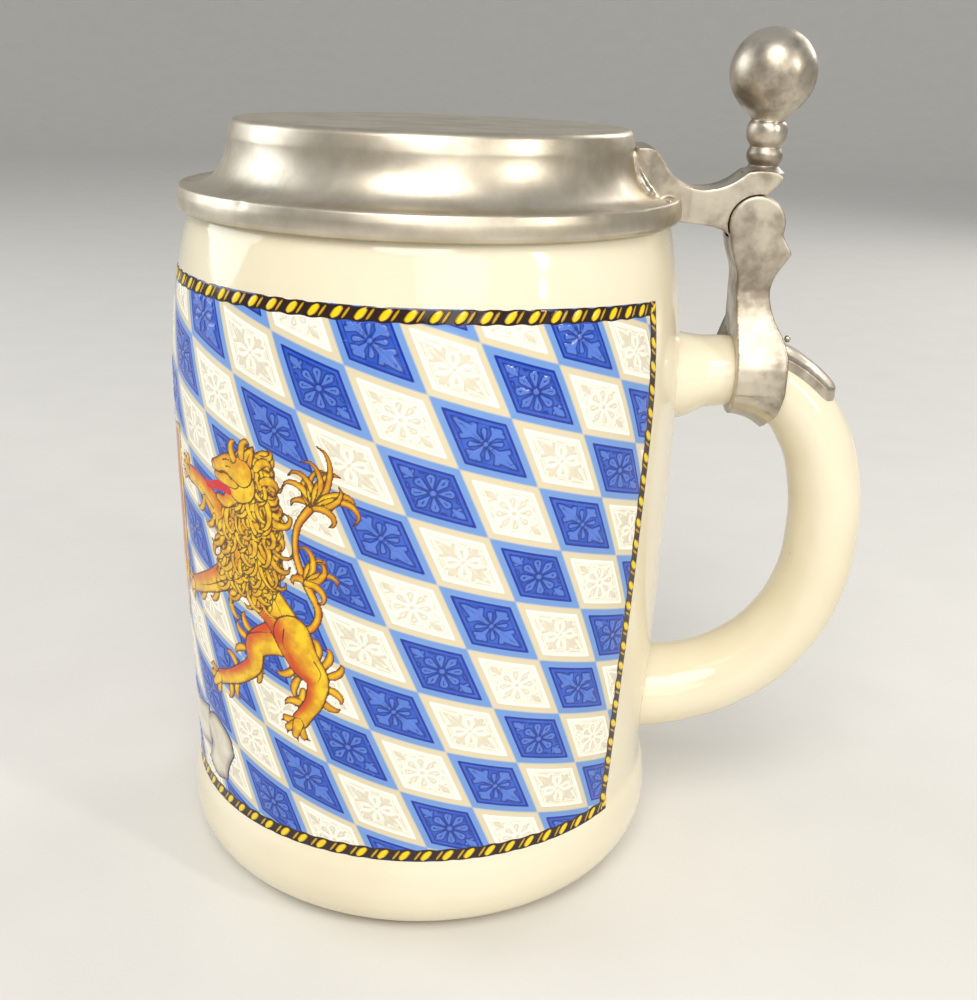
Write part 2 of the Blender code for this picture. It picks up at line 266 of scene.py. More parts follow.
def pewter_skin_group():
    """Fine turning lines, rubbed patches, scratches and little pits of cast pewter."""
    tree, paint, given, out = group(
        "pewter_skin",
        [("Place", None), ("Lines", None), ("Line Scale", 1.0), ("Dent", 1.0)],
        ["Height", "Rub", "Tone"],
    )
    lines = paint.noise(given["Lines"], paint.math("MULTIPLY", given["Line Scale"], 1200.0), 3.0, 0.6)
    pits = paint.node("ShaderNodeTexVoronoi", {"Vector": given["Place"], "Scale": 420.0}).outputs
    pit = paint.ramp(pits["Distance"], 0.02, 0.16)
    grain = paint.noise(given["Place"], 620.0, 3.0, 0.6)
    dents = paint.noise(given["Place"], 170.0, 2.0, 0.5)
    height = paint.math("ADD", paint.math("MULTIPLY", lines, 0.4), paint.math("MULTIPLY", grain, 0.4))
    height = paint.math("ADD", height, paint.math("MULTIPLY", pit, 0.3))
    height = paint.math("ADD", height, paint.math("MULTIPLY", dents, given["Dent"]))
    rub = paint.noise(given["Place"], 210.0, 4.0, 0.65)
    tone = paint.noise(given["Place"], 95.0, 4.0, 0.6)
    paint.tree.links.new(height, out["Height"])
    paint.tree.links.new(rub, out["Rub"])
    paint.tree.links.new(tone, out["Tone"])
    return tree


GLAZE_SKIN = glaze_skin_group()
PEWTER_SKIN = pewter_skin_group()


def ivory_glaze():
    made, paint, shader = material("ivory_glaze")
    place = paint.place()
    skin = paint.node("ShaderNodeGroup", node_tree=GLAZE_SKIN)
    paint.tree.links.new(place, skin.inputs["Place"])
    skin.inputs["Wave Size"].default_value = 75.0
    skin.inputs["Speck Share"].default_value = 0.5
    colour = paint.mix(paint.ramp(skin.outputs["Cloud"], 0.3, 0.7), rgb(224, 214, 186), rgb(232, 224, 200))
    colour = paint.mix(skin.outputs["Speck"], colour, rgb(150, 128, 92))
    height = paint.node("ShaderNodeSeparateXYZ", {0: place}).outputs["Z"]
    bare = paint.ramp(height, 0.9 * MM, 0.3 * MM)
    colour = paint.mix(bare, colour, rgb(206, 190, 158))
    roughness = paint.ramp(skin.outputs["Cloud"], 0.3, 0.7, 0.06, 0.10)
    roughness = paint.math("ADD", roughness, paint.math("MULTIPLY", bare, 0.5))
    normal = paint.bump(skin.outputs["Height"], 0.2, 0.2 * MM)
    wire(
        paint, shader, colour=colour, roughness=roughness, normal=normal, specular=0.5, ior=1.5,
        subsurface=0.06, subsurface_scale=2.0 * MM, subsurface_radius=(1.0, 0.8, 0.55),
    )
    return made


def pewter(name, lines_axis="round"):
    """Satin pewter; the turning lines run round the Z axis, or along Y on the castings."""
    spun = lines_axis == "round"
    tone_low, tone_high = ((188, 179, 161), (205, 196, 179)) if spun else ((138, 128, 114), (200, 191, 175))
    dull, bright = (0.42, 0.35) if spun else (0.48, 0.29)
    made, paint, shader = material(name)
    place = paint.place()
    parts = paint.node("ShaderNodeSeparateXYZ", {0: place}).outputs
    if spun:
        flat = paint.node("ShaderNodeCombineXYZ", {"X": parts["X"], "Y": parts["Y"]}).outputs[0]
        reach = paint.node("ShaderNodeVectorMath", {0: flat}, operation="LENGTH").outputs["Value"]
        lines = paint.node("ShaderNodeCombineXYZ", {"X": reach, "Z": parts["Z"]}).outputs[0]
    else:
        squeezed = paint.math("MULTIPLY", parts["Y"], 0.12)
        places = {"X": parts["X"], "Y": squeezed, "Z": parts["Z"]}
        lines = paint.node("ShaderNodeCombineXYZ", places).outputs[0]
    skin = paint.node("ShaderNodeGroup", node_tree=PEWTER_SKIN)
    paint.tree.links.new(place, skin.inputs["Place"])
    paint.tree.links.new(lines, skin.inputs["Lines"])
    skin.inputs["Line Scale"].default_value = 1.0 if spun else 0.5
    skin.inputs["Dent"].default_value = 0.35 if spun else 1.7
    colour = paint.mix(paint.ramp(skin.outputs["Tone"], 0.38, 0.62), rgb(*tone_low), rgb(*tone_high))
    rubbed = paint.ramp(skin.outputs["Rub"], 0.42, 0.68)
    colour = paint.mix(paint.math("MULTIPLY", rubbed, 0.35), colour, rgb(216, 208, 193))
    edge = paint.node("ShaderNodeNewGeometry").outputs["Pointiness"]
    worn = paint.ramp(edge, 0.54, 0.68)
    colour = paint.mix(paint.math("MULTIPLY", worn, 0.5), colour, rgb(226, 220, 208))
    # Darker brown in the hollows, where the surface curves inwards.
    hollow_dark = paint.ramp(edge, 0.46, 0.34)
    colour = paint.mix(paint.math("MULTIPLY", hollow_dark, 0.6), colour, rgb(96, 84, 66))
    roughness = paint.ramp(skin.outputs["Rub"], 0.34, 0.68, dull, bright)
    normal = paint.bump(skin.outputs["Height"], 0.35, 0.06 * MM)
    wire(paint, shader, colour=colour, roughness=roughness, metallic=1.0, normal=normal)
    return made


def transfer_paint():
    """The fired decoration. Each layer is a depth in millimetres, positive inside its shape."""
    made, paint, shader = material("transfer_enamel")
    place = paint.place()
    skin = paint.node("ShaderNodeGroup", node_tree=GLAZE_SKIN)
    paint.tree.links.new(place, skin.inputs["Place"])
    skin.inputs["Wave Size"].default_value = 110.0
    skin.inputs["Speck Share"].default_value = 0.0
    grain = paint.noise(place, 1500.0, 2.0, 0.6)
    wash = paint.noise(place, 260.0, 3.0, 0.6)
    cloud = paint.ramp(skin.outputs["Cloud"], 0.3, 0.7)

    def inside(depth, edge=0.0, soft=0.09):
        return paint.ramp(depth, edge - soft, edge + soft)

    def band(depth, middle, half, soft=0.09):
        low = inside(depth, middle - half, soft)
        high = inside(depth, middle + half, soft)
        return paint.math("MULTIPLY", low, paint.math("SUBTRACT", 1.0, high))

    def share(mask, amount):
        return paint.math("MULTIPLY", mask, amount)

    cell = paint.attribute("lozenge")
    ornament = paint.attribute("ornament")
    raised = inside(ornament, 0.02, 0.10)
    rim = band(ornament, -0.06, 0.15, 0.12)

    blue = paint.mix(paint.ramp(wash, 0.3, 0.7), rgb(30, 74, 180), rgb(48, 94, 198))
    blue = paint.mix(share(cloud, 0.35), blue, rgb(72, 100, 196))
    blue = paint.mix(share(band(cell, 1.95, 0.10), 0.55), blue, rgb(18, 50, 146))
    blue = paint.mix(share(rim, 0.85), blue, rgb(14, 42, 132))
    blue = paint.mix(share(raised, 0.70), blue, rgb(92, 130, 214))
    blue = paint.mix(band(cell, 1.28, 0.19), blue, rgb(16, 46, 148))
    blue = paint.mix(paint.ramp(cell, 1.16, 1.02), blue, rgb(110, 150, 212))

    inner = paint.math("MULTIPLY", cell, -1.0)
    white = paint.mix(paint.ramp(wash, 0.3, 0.7), rgb(232, 226, 208), rgb(242, 237, 222))
    white = paint.mix(share(band(inner, 1.98, 0.09), 0.75), white, rgb(204, 194, 168))
    white = paint.mix(share(band(inner, 2.40, 0.08), 0.65), white, rgb(210, 200, 176))
    white = paint.mix(share(rim, 0.75), white, rgb(252, 248, 236))
    white = paint.mix(share(raised, 0.70), white, rgb(208, 199, 176))
    white = paint.mix(band(inner, 1.28, 0.17), white, rgb(254, 250, 240))
    white = paint.mix(paint.ramp(inner, 1.12, 0.98), white, rgb(214, 203, 172))
    ground = paint.mix(inside(cell, 0.0, 0.22), white, blue)

    ribbon = paint.attribute("ribbon")
    cream = paint.mix(paint.ramp(wash, 0.3, 0.7), rgb(206, 198, 178), rgb(226, 219, 200))
    cream = paint.mix(paint.ramp(ribbon, 1.8, 0.2), cream, rgb(150, 140, 118))
    ground = paint.mix(inside(ribbon, 0.0, 0.07), ground, cream)
    ground = paint.mix(band(ribbon, 0.06, 0.20, 0.06), ground, rgb(40, 54, 122))

    field = paint.attribute("field")
    red = paint.mix(paint.ramp(wash, 0.3, 0.7), rgb(168, 22, 26), rgb(196, 36, 34))
    red = paint.mix(paint.ramp(field, 0.9, 0.1), red, rgb(104, 10, 20))
    ground = paint.mix(inside(field, 0.0, 0.07), ground, red)

    gold = paint.attribute("gold")
    streak = paint.ramp(paint.noise(place, 420.0, 3.0, 0.6), 0.35, 0.65)
    yellow = paint.mix(streak, rgb(214, 160, 8), rgb(242, 200, 26))
    yellow = paint.mix(share(paint.ramp(gold, 0.62, 0.12), 0.85), yellow, rgb(168, 104, 8))
    warm = share(paint.attribute("warm"), paint.ramp(wash, 0.25, 0.55, 0.6, 1.0))
    yellow = paint.mix(warm, yellow, rgb(202, 66, 8))
    ground = paint.mix(inside(gold, 0.0, 0.05), ground, yellow)
    ink = paint.attribute("ink")
    ground = paint.mix(share(inside(ink, 0.0, 0.06), 0.9), ground, rgb(62, 30, 12))
    ground = paint.mix(inside(paint.attribute("tongue"), 0.0, 0.06), ground, rgb(200, 16, 26))

    cord = paint.attribute("rope")
    strand = paint.attribute("strand")
    rope = paint.mix(inside(strand, 0.05, 0.07), rgb(40, 24, 20), rgb(176, 132, 10))
    rope = paint.mix(paint.ramp(strand, 0.10, 0.42), rope, rgb(234, 204, 18))
    ground = paint.mix(inside(cord, 0.0, 0.06), ground, rope)

    glint = paint.ramp(grain, 0.70, 0.82)
    colour = paint.mix(share(glint, 0.22), ground, rgb(232, 234, 240))
    roughness = paint.ramp(wash, 0.3, 0.7, 0.11, 0.20)
    normal = paint.bump(paint.ramp(ornament, -0.25, 0.25), 0.35, 0.10 * MM)
    normal = paint.bump(skin.outputs["Height"], 0.2, 0.2 * MM, normal)
    normal = paint.bump(grain, 0.12, 0.05 * MM, normal)
    wire(paint, shader, colour=colour, roughness=roughness, normal=normal, specular=0.5, ior=1.5)
    return made


def pin_steel():
    made, paint, shader = material("pin_steel")
    place = paint.place()
    grain = paint.noise(place, 700.0, 3.0, 0.6)
    colour = paint.mix(grain, rgb(120, 120, 122), rgb(160, 160, 160))
    wire(
        paint, shader, colour=colour, roughness=paint.ramp(grain, 0.3, 0.7, 0.25, 0.4), metallic=1.0,
        normal=paint.bump(grain, 0.2, 0.05 * MM),
    )
    return made


IVORY = ivory_glaze()
SPUN_PEWTER = pewter("spun_pewter")
CAST_PEWTER = pewter("cast_pewter", "cast")
ENAMEL = transfer_paint()
STEEL = pin_steel()


# ---------------------------------------------------------------- stoneware
def wall_radius(z):
    """Outside radius of the vessel between the waist and the lip."""
    if z < BELLY_HEIGHT:
        return BELLY - (BELLY - WAIST) * ((BELLY_HEIGHT - z) / (BELLY_HEIGHT - WAIST_HEIGHT)) ** 1.6
    return BELLY - (BELLY - LIP) * ((z - BELLY_HEIGHT) / (RIM - BELLY_HEIGHT)) ** 2.2


def make_vessel():
    inside = [(BELLY - WALL - 13.0 * MM, FLOOR)]
    inside += arc((33.4 * MM, FLOOR + 6.0 * MM), 6.0 * MM, -90, -8, 12)
    inside += [(wall_radius(z) - WALL, z) for z in spread(22.0 * MM, RIM - 2.6 * MM, 60)]
    lip_middle = (LIP - WALL / 2 + 0.15 * MM, RIM - 2.6 * MM)
    lip = arc(lip_middle, 2.6 * MM, 168, 12, 16)
    outside = [(wall_radius(z), z) for z in spread(RIM - 3.6 * MM, WAIST_HEIGHT + 1.0 * MM, 90)]
    foot = smooth_line(
        [
            (WAIST, WAIST_HEIGHT),
            (WAIST + 0.15 * MM, 17.4 * MM),
            (FOOT - 0.45 * MM, 14.6 * MM),
            (FOOT, 10.5 * MM),
            (FOOT - 0.15 * MM, 8.1 * MM),
            (FOOT - 0.75 * MM, 5.8 * MM),
            (FOOT - 2.0 * MM, 3.6 * MM),
            (FOOT - 3.8 * MM, 1.9 * MM),
            (FOOT - 5.8 * MM, 0.6 * MM),
            (BASE, 0.0),
        ],
        7,
    )
    profile = [(0.0, FLOOR)] + inside + lip + outside + [tuple(p) for p in foot]
    profile += [(BASE - 3.0 * MM, 0.0), (0.0, 0.0)]
    return add_piece("stein_body", turned("stein_body", profile), IVORY, "stein", ["vessel"])


# Handle centreline in the XZ plane, millimetres, with the half thickness at each point
HANDLE_ROUTE = (
    ((42.0, 95.6), 9.4), ((46.5, 95.9), 8.2), ((51.5, 96.6), 6.7), ((59.0, 96.8), 6.3),
    ((67.2, 93.4), 6.4), ((73.2, 86.4), 6.6), ((76.8, 76.5), 6.8), ((77.8, 65.5), 6.8),
    ((76.4, 54.0), 6.9), ((71.2, 43.4), 7.1), ((62.8, 35.6), 7.4), ((53.4, 31.4), 7.7),
    ((46.5, 30.2), 8.2), ((41.5, 29.9), 8.6),
)
HANDLE_WIDTH_RATIO = 1.2


def tube_mesh(name, grow=0.0, first=0, last=None, resolution=12, sides=12):
    """The handle's tube, or a stretch of it, as a closed mesh."""
    curve = bpy.data.curves.new(name, "CURVE")
    curve.dimensions = "3D"
    curve.bevel_depth = MM
    curve.bevel_resolution = sides
    curve.resolution_u = resolution
    curve.use_fill_caps = True
    spline = curve.splines.new("BEZIER")
    route = HANDLE_ROUTE[first:last]
    spline.bezier_points.add(len(route) - 1)
    for point, ((x, z), half) in zip(spline.bezier_points, route):
        point.co = (x * MM, 0.0, z * MM)
        point.radius = half + grow
        point.handle_left_type = "AUTO"
        point.handle_right_type = "AUTO"
    return solid_from(curve, Matrix.Diagonal((1.0, HANDLE_WIDTH_RATIO, 1.0, 1.0)))


def solid_from(curve, matrix):
    """A welded mesh of a curve, moved by the matrix."""
    thing = bpy.data.objects.new(curve.name, curve)
    bpy.context.scene.collection.objects.link(thing)
    bpy.context.view_layer.update()
    mesh = bpy.data.meshes.new_from_object(thing.evaluated_get(bpy.context.evaluated_depsgraph_get()))
    bpy.data.objects.remove(thing, do_unlink=True)
    mesh.transform(matrix)
    shape = bmesh.new()
    shape.from_mesh(mesh)
    bmesh.ops.remove_doubles(shape, verts=shape.verts, dist=0.000005)
    bmesh.ops.recalc_face_normals(shape, faces=shape.faces)
    shape.to_mesh(mesh)
    shape.free()
    return mesh


def make_handle():
    return add_piece("stein_handle", tube_mesh("stein_handle"), IVORY, "stein", ["handle"])


# ---------------------------------------------------------------- transfer panel
# Lengths on the panel are millimetres: u runs round the wall from the front, v is height.
ROPE_HALF = 1.3
ROPE_PITCH = 3.95
ROPE_BOTTOM = 18.0
ROPE_TOP = 113.7
ROPE_FACE = 1.14
CELL_A = np.array([13.14, -3.86])
CELL_B = np.array([5.08, -11.75])
CELL_START = np.array([78.93, 86.34])
LION_FROM = 21.0
LION_TO = 68.0
PANEL_END = 119.5
ROW_STEP = 0.24
LAYERS = ("lozenge", "ornament", "ribbon", "field", "gold", "warm", "ink", "tongue", "rope", "strand")


def rope_side(v):
    """Distance round the wall from the front to the rope's upright."""
    return 118.2 + (v - ROPE_BOTTOM) * 0.0445


def rope_crest(u):
    """Height of the rope's top run, which dips a little towards its ends."""
    return ROPE_TOP - 1.4 * np.clip((np.abs(u) - 75.0) / 47.0, 0, None) ** 2


def rise(depth, low, high):
    t = np.clip((depth - low) / (high - low), 0, 1)
    return t * t * (3 - 2 * t)


class Decal:
    """Depth layers over the whole panel: each is in millimetres, positive inside its shape."""

    def __init__(self):
        right = np.concatenate([
            np.linspace(0, LION_FROM, 96)[:-1],
            np.linspace(LION_FROM, LION_TO, 231)[:-1],
            np.linspace(LION_TO, PANEL_END, 212),
        ])
        line = np.concatenate([-right[:0:-1], right])
        rows = int(round((ROPE_TOP - ROPE_BOTTOM + 2 * ROPE_HALF) / ROW_STEP))
        u, t = np.meshgrid(line, np.linspace(0, 1, rows + 1))
        low = ROPE_BOTTOM - ROPE_HALF
        v = low + t * (ROPE_TOP + ROPE_HALF - low)
        past = np.clip((np.abs(u) - LION_TO) / (PANEL_END - LION_TO), 0, 1)
        u = u + np.sign(u) * past * (rope_side(v) + ROPE_HALF - PANEL_END)
        self.line = line
        self.u = u
        self.v = low + t * (rope_crest(u) + ROPE_HALF - low)
        self.layers = {name: np.full(u.shape, -3.0, np.float32) for name in LAYERS}
        self.layers["warm"][:] = 0.0

    def window(self, line):
        """The rows and columns that a stroke can reach."""
        margin = line[:, 2].max() + 0.6
        columns = np.nonzero(
            (self.line > line[:, 0].min() - margin - 4.0) & (self.line < line[:, 0].max() + margin + 4.0)
        )[0]
        heights = self.v[:, len(self.line) // 2]
        rows = np.nonzero(
            (heights > line[:, 1].min() - margin - 1.5) & (heights < line[:, 1].max() + margin + 3.0)
        )[0]
        return slice(rows[0], rows[-1] + 1), slice(columns[0], columns[-1] + 1)

    def stroke(self, points, radii, side=1):
        """A tapering stroke's window, its depth there and how far across it each point lies, -1 to 1."""
        line = [(side * x, y, r) for (x, y), r in zip(points, radii)]
        line = np.array(smooth_line(line, 6) if len(line) > 2 else line, float)
        hit = self.window(line)
        u, v = self.u[hit], self.v[hit]
        best = np.full(u.shape, -9.0)
        across = np.zeros(u.shape)
        for (ax, ay, ar), (bx, by, br) in zip(line[:-1], line[1:]):
            dx, dy = bx - ax, by - ay
            length = math.hypot(dx, dy) + 1e-9
            share = np.clip(((u - ax) * dx + (v - ay) * dy) / length**2, 0, 1)
            radius = ar + (br - ar) * share
            depth = radius - np.hypot(u - ax - share * dx, v - ay - share * dy)
            nearer = depth > best
            best = np.where(nearer, depth, best)
            lateral = side * ((u - ax) * dy - (v - ay) * dx) / length / np.maximum(radius, 0.1)
            across = np.where(nearer, lateral, across)
        return hit, best, across

    def add(self, name, points, radii, side=1):
        hit, depth, _ = self.stroke(points, radii, side)
        self.layers[name][hit] = np.maximum(self.layers[name][hit], depth)

    def fur(self, points, radii, side, warm, rim):
        """A gold stroke laid over what is there, with its own dark edge."""
        hit, depth, across = self.stroke(points, radii, side)
        gold, ink, tone = (self.layers[name][hit] for name in ("gold", "ink", "warm"))
        over = depth > -rim
        self.layers["ink"][hit] = np.where(over, rim - np.abs(depth), ink)
        self.layers["warm"][hit] = np.where(depth > 0, warm * rise(across, -0.35, 0.75), tone)
        self.layers["gold"][hit] = np.maximum(gold, depth)

    def outline(self, name, points, side=1):
        """A filled polygon as a signed depth."""
        shape = np.array([(side * x, y) for x, y in points], float)
        u, v = self.u, self.v
        near = np.full(u.shape, 99.0)
        inside = np.zeros(u.shape, bool)
        for (ax, ay), (bx, by) in zip(shape, np.roll(shape, -1, 0)):
            dx, dy = bx - ax, by - ay
            share = np.clip(((u - ax) * dx + (v - ay) * dy) / (dx * dx + dy * dy + 1e-9), 0, 1)
            near = np.minimum(near, np.hypot(u - ax - share * dx, v - ay - share * dy))
            if by != ay:
                inside ^= ((ay > v) != (by > v)) & (u < ax + (v - ay) / (by - ay) * dx)
        depth = np.where(inside, near, -near)
        self.layers[name] = np.maximum(self.layers[name], depth).astype(np.float32)


def teardrop(x, y, x0, x1, r0, r1):
    share = np.clip((x - x0) / (x1 - x0), 0, 1)
    return r0 + (r1 - r0) * share - np.hypot(x - x0 - share * (x1 - x0), y)


def leaf(x, y, start, end, r0, r1):
    """Depth of a leaf from start to end in a cell's own folded axes."""
    (ax, ay), (bx, by) = start, end
    length = math.hypot(bx - ax, by - ay)
    cx, cy = (bx - ax) / length, (by - ay) / length
    return teardrop((x - ax) * cx + (y - ay) * cy, (y - ay) * cx - (x - ax) * cy, 0, length, r0, r1)


def ring(x, y, centre, radius, half):
    return half - np.abs(np.hypot(x - centre[0], y - centre[1]) - radius)


def rosette(x, y):
    """Eight grooved petals round a boss, with a fleur and scrolls towards each sharp corner."""
    reach = np.hypot(x / 1.25, y)
    turn = np.arctan2(y, x / 1.25)
    petal = np.abs((turn + math.pi / 8) % (math.pi / 4) - math.pi / 8)
    px, py = reach * np.cos(petal), reach * np.sin(petal)
    shape = np.maximum(teardrop(px, py, 0.80, 2.15, 0.12, 0.56), 0.40 - reach)
    groove = teardrop(px, py, 1.5, 2.2, 0.04, 0.17)
    shape = np.where(groove > 0, -groove, shape)
    shape = np.maximum(shape, leaf(x, y, (4.0, 0.0), (5.6, 0.0), 0.22, 0.60))
    shape = np.maximum(shape, leaf(x, y, (5.6, 0.0), (7.3, 0.0), 0.50, 0.08))
    shape = np.maximum(shape, leaf(x, y, (4.4, 0.5), (5.5, 1.5), 0.16, 0.34))
    shape = np.maximum(shape, ring(x, y, (3.7, 1.9), 0.50, 0.17))
    shape = np.maximum(shape, leaf(x, y, (0.0, 3.1), (0.0, 4.0), 0.40, 0.10))
    return np.maximum(shape, ring(x, y, (1.45, 3.2), 0.42, 0.16))


def leaf_cross(x, y):
    """Two long grooved leaves and two short ones, crossed, with buds between."""
    shape = np.maximum(leaf(x, y, (0.7, 0.0), (3.3, 0.0), 0.16, 0.62), 0.36 - np.hypot(x, y))
    shape = np.maximum(shape, leaf(x, y, (3.3, 0.0), (6.4, 0.0), 0.92, 0.12))
    shape = np.maximum(shape, leaf(x, y, (2.4, 0.3), (3.7, 1.45), 0.18, 0.40))
    shape = np.maximum(shape, leaf(x, y, (0.0, 0.6), (0.0, 2.5), 0.14, 0.72))
    shape = np.maximum(shape, leaf(x, y, (0.0, 2.5), (0.0, 3.8), 0.55, 0.10))
    shape = np.maximum(shape, leaf(x, y, (0.2, 1.7), (1.15, 2.5), 0.16, 0.34))
    shape = np.maximum(shape, leaf(x, y, (0.6, 0.5), (1.7, 1.35), 0.10, 0.36))
    vein = leaf(x, y, (1.2, 0.0), (5.2, 0.0), 0.05, 0.13)
    return np.maximum(np.where(vein > 0, -vein, shape), 0.30 - np.hypot(x - 7.2, y))


def draw_cells(decal):
    """Blue and white cells: signed depth, blue positive, and the ornament in each cell."""
    inverse = np.linalg.inv(np.column_stack([CELL_A, CELL_B]))
    du, dv = decal.u - CELL_START[0], decal.v - CELL_START[1]
    p = inverse[0, 0] * du + inverse[0, 1] * dv
    q = inverse[1, 0] * du + inverse[1, 1] * dv
    i, j = np.round(p), np.round(q)
    p, q = p - i, q - j
    area = abs(CELL_A[0] * CELL_B[1] - CELL_A[1] * CELL_B[0])
    edge = np.minimum(
        (0.5 - np.abs(p)) * area / np.linalg.norm(CELL_B), (0.5 - np.abs(q)) * area / np.linalg.norm(CELL_A)
    )
    blue = (i + j) % 2 == 0
    decal.layers["lozenge"] = np.where(blue, edge, -edge).astype(np.float32)
    size = np.where(blue, 1.08, 0.98)
    x = np.abs((p + q) * np.linalg.norm(CELL_A + CELL_B) / 2) / size
    y = np.abs((p - q) * np.linalg.norm(CELL_A - CELL_B) / 2) / size
    kind = (np.floor((i - j) / 2) % 2) == 0
    ornament = np.where(kind, rosette(x, y), leaf_cross(x, y)) * size
    decal.layers["ornament"] = np.clip(np.minimum(ornament, edge - 2.1), -1.0, 1.0).astype(np.float32)


def draw_rope(decal):
    """The rope border: a fat and a thin yellow strand in each turn, over black."""
    away, side = np.abs(decal.u), np.sign(decal.u)
    runs = (
        (decal.v - rope_crest(decal.u), decal.u),
        (ROPE_BOTTOM - decal.v, -decal.u),
        (away - rope_side(decal.v), -decal.v * side),
    )
    cord, strand = decal.layers["rope"], decal.layers["strand"]
    for across, along in runs:
        turn = (along - 0.68 * across) / ROPE_PITCH
        offset = (turn - np.round(turn)) * ROPE_PITCH
        late = (turn - 0.385 - np.round(turn - 0.385)) * ROPE_PITCH
        belly = 1.0 - (np.abs(across) / 1.0) ** 4
        fat = 0.84 * belly - np.abs(offset)
        thin = 0.30 * belly - np.abs(late)
        here = ROPE_FACE + 0.10 * np.cos(math.tau * (turn - 0.12)) - np.abs(across)
        strand = np.where(here > cord, np.maximum(fat, thin), strand)
        cord = np.maximum(cord, here)
    decal.layers["rope"] = cord.astype(np.float32)
    decal.layers["strand"] = strand.astype(np.float32)


def curl(root, angle, length, radius, bend):
    """Points and radii of a lock of hair that leaves root at an angle in degrees and hooks over."""
    x, y = root
    points, radii = [(x, y)], [radius * 0.8]
    for share, turn, width in ((0.38, 0.0, 1.0), (0.34, 0.55, 0.85), (0.26, 1.3, 0.55), (0.20, 2.4, 0.18)):
        a = math.radians(angle + bend * turn)
        x, y = x + share * length * math.cos(a), y + share * length * math.sin(a)
        points.append((x, y))
        radii.append(radius * width)
    return points, radii


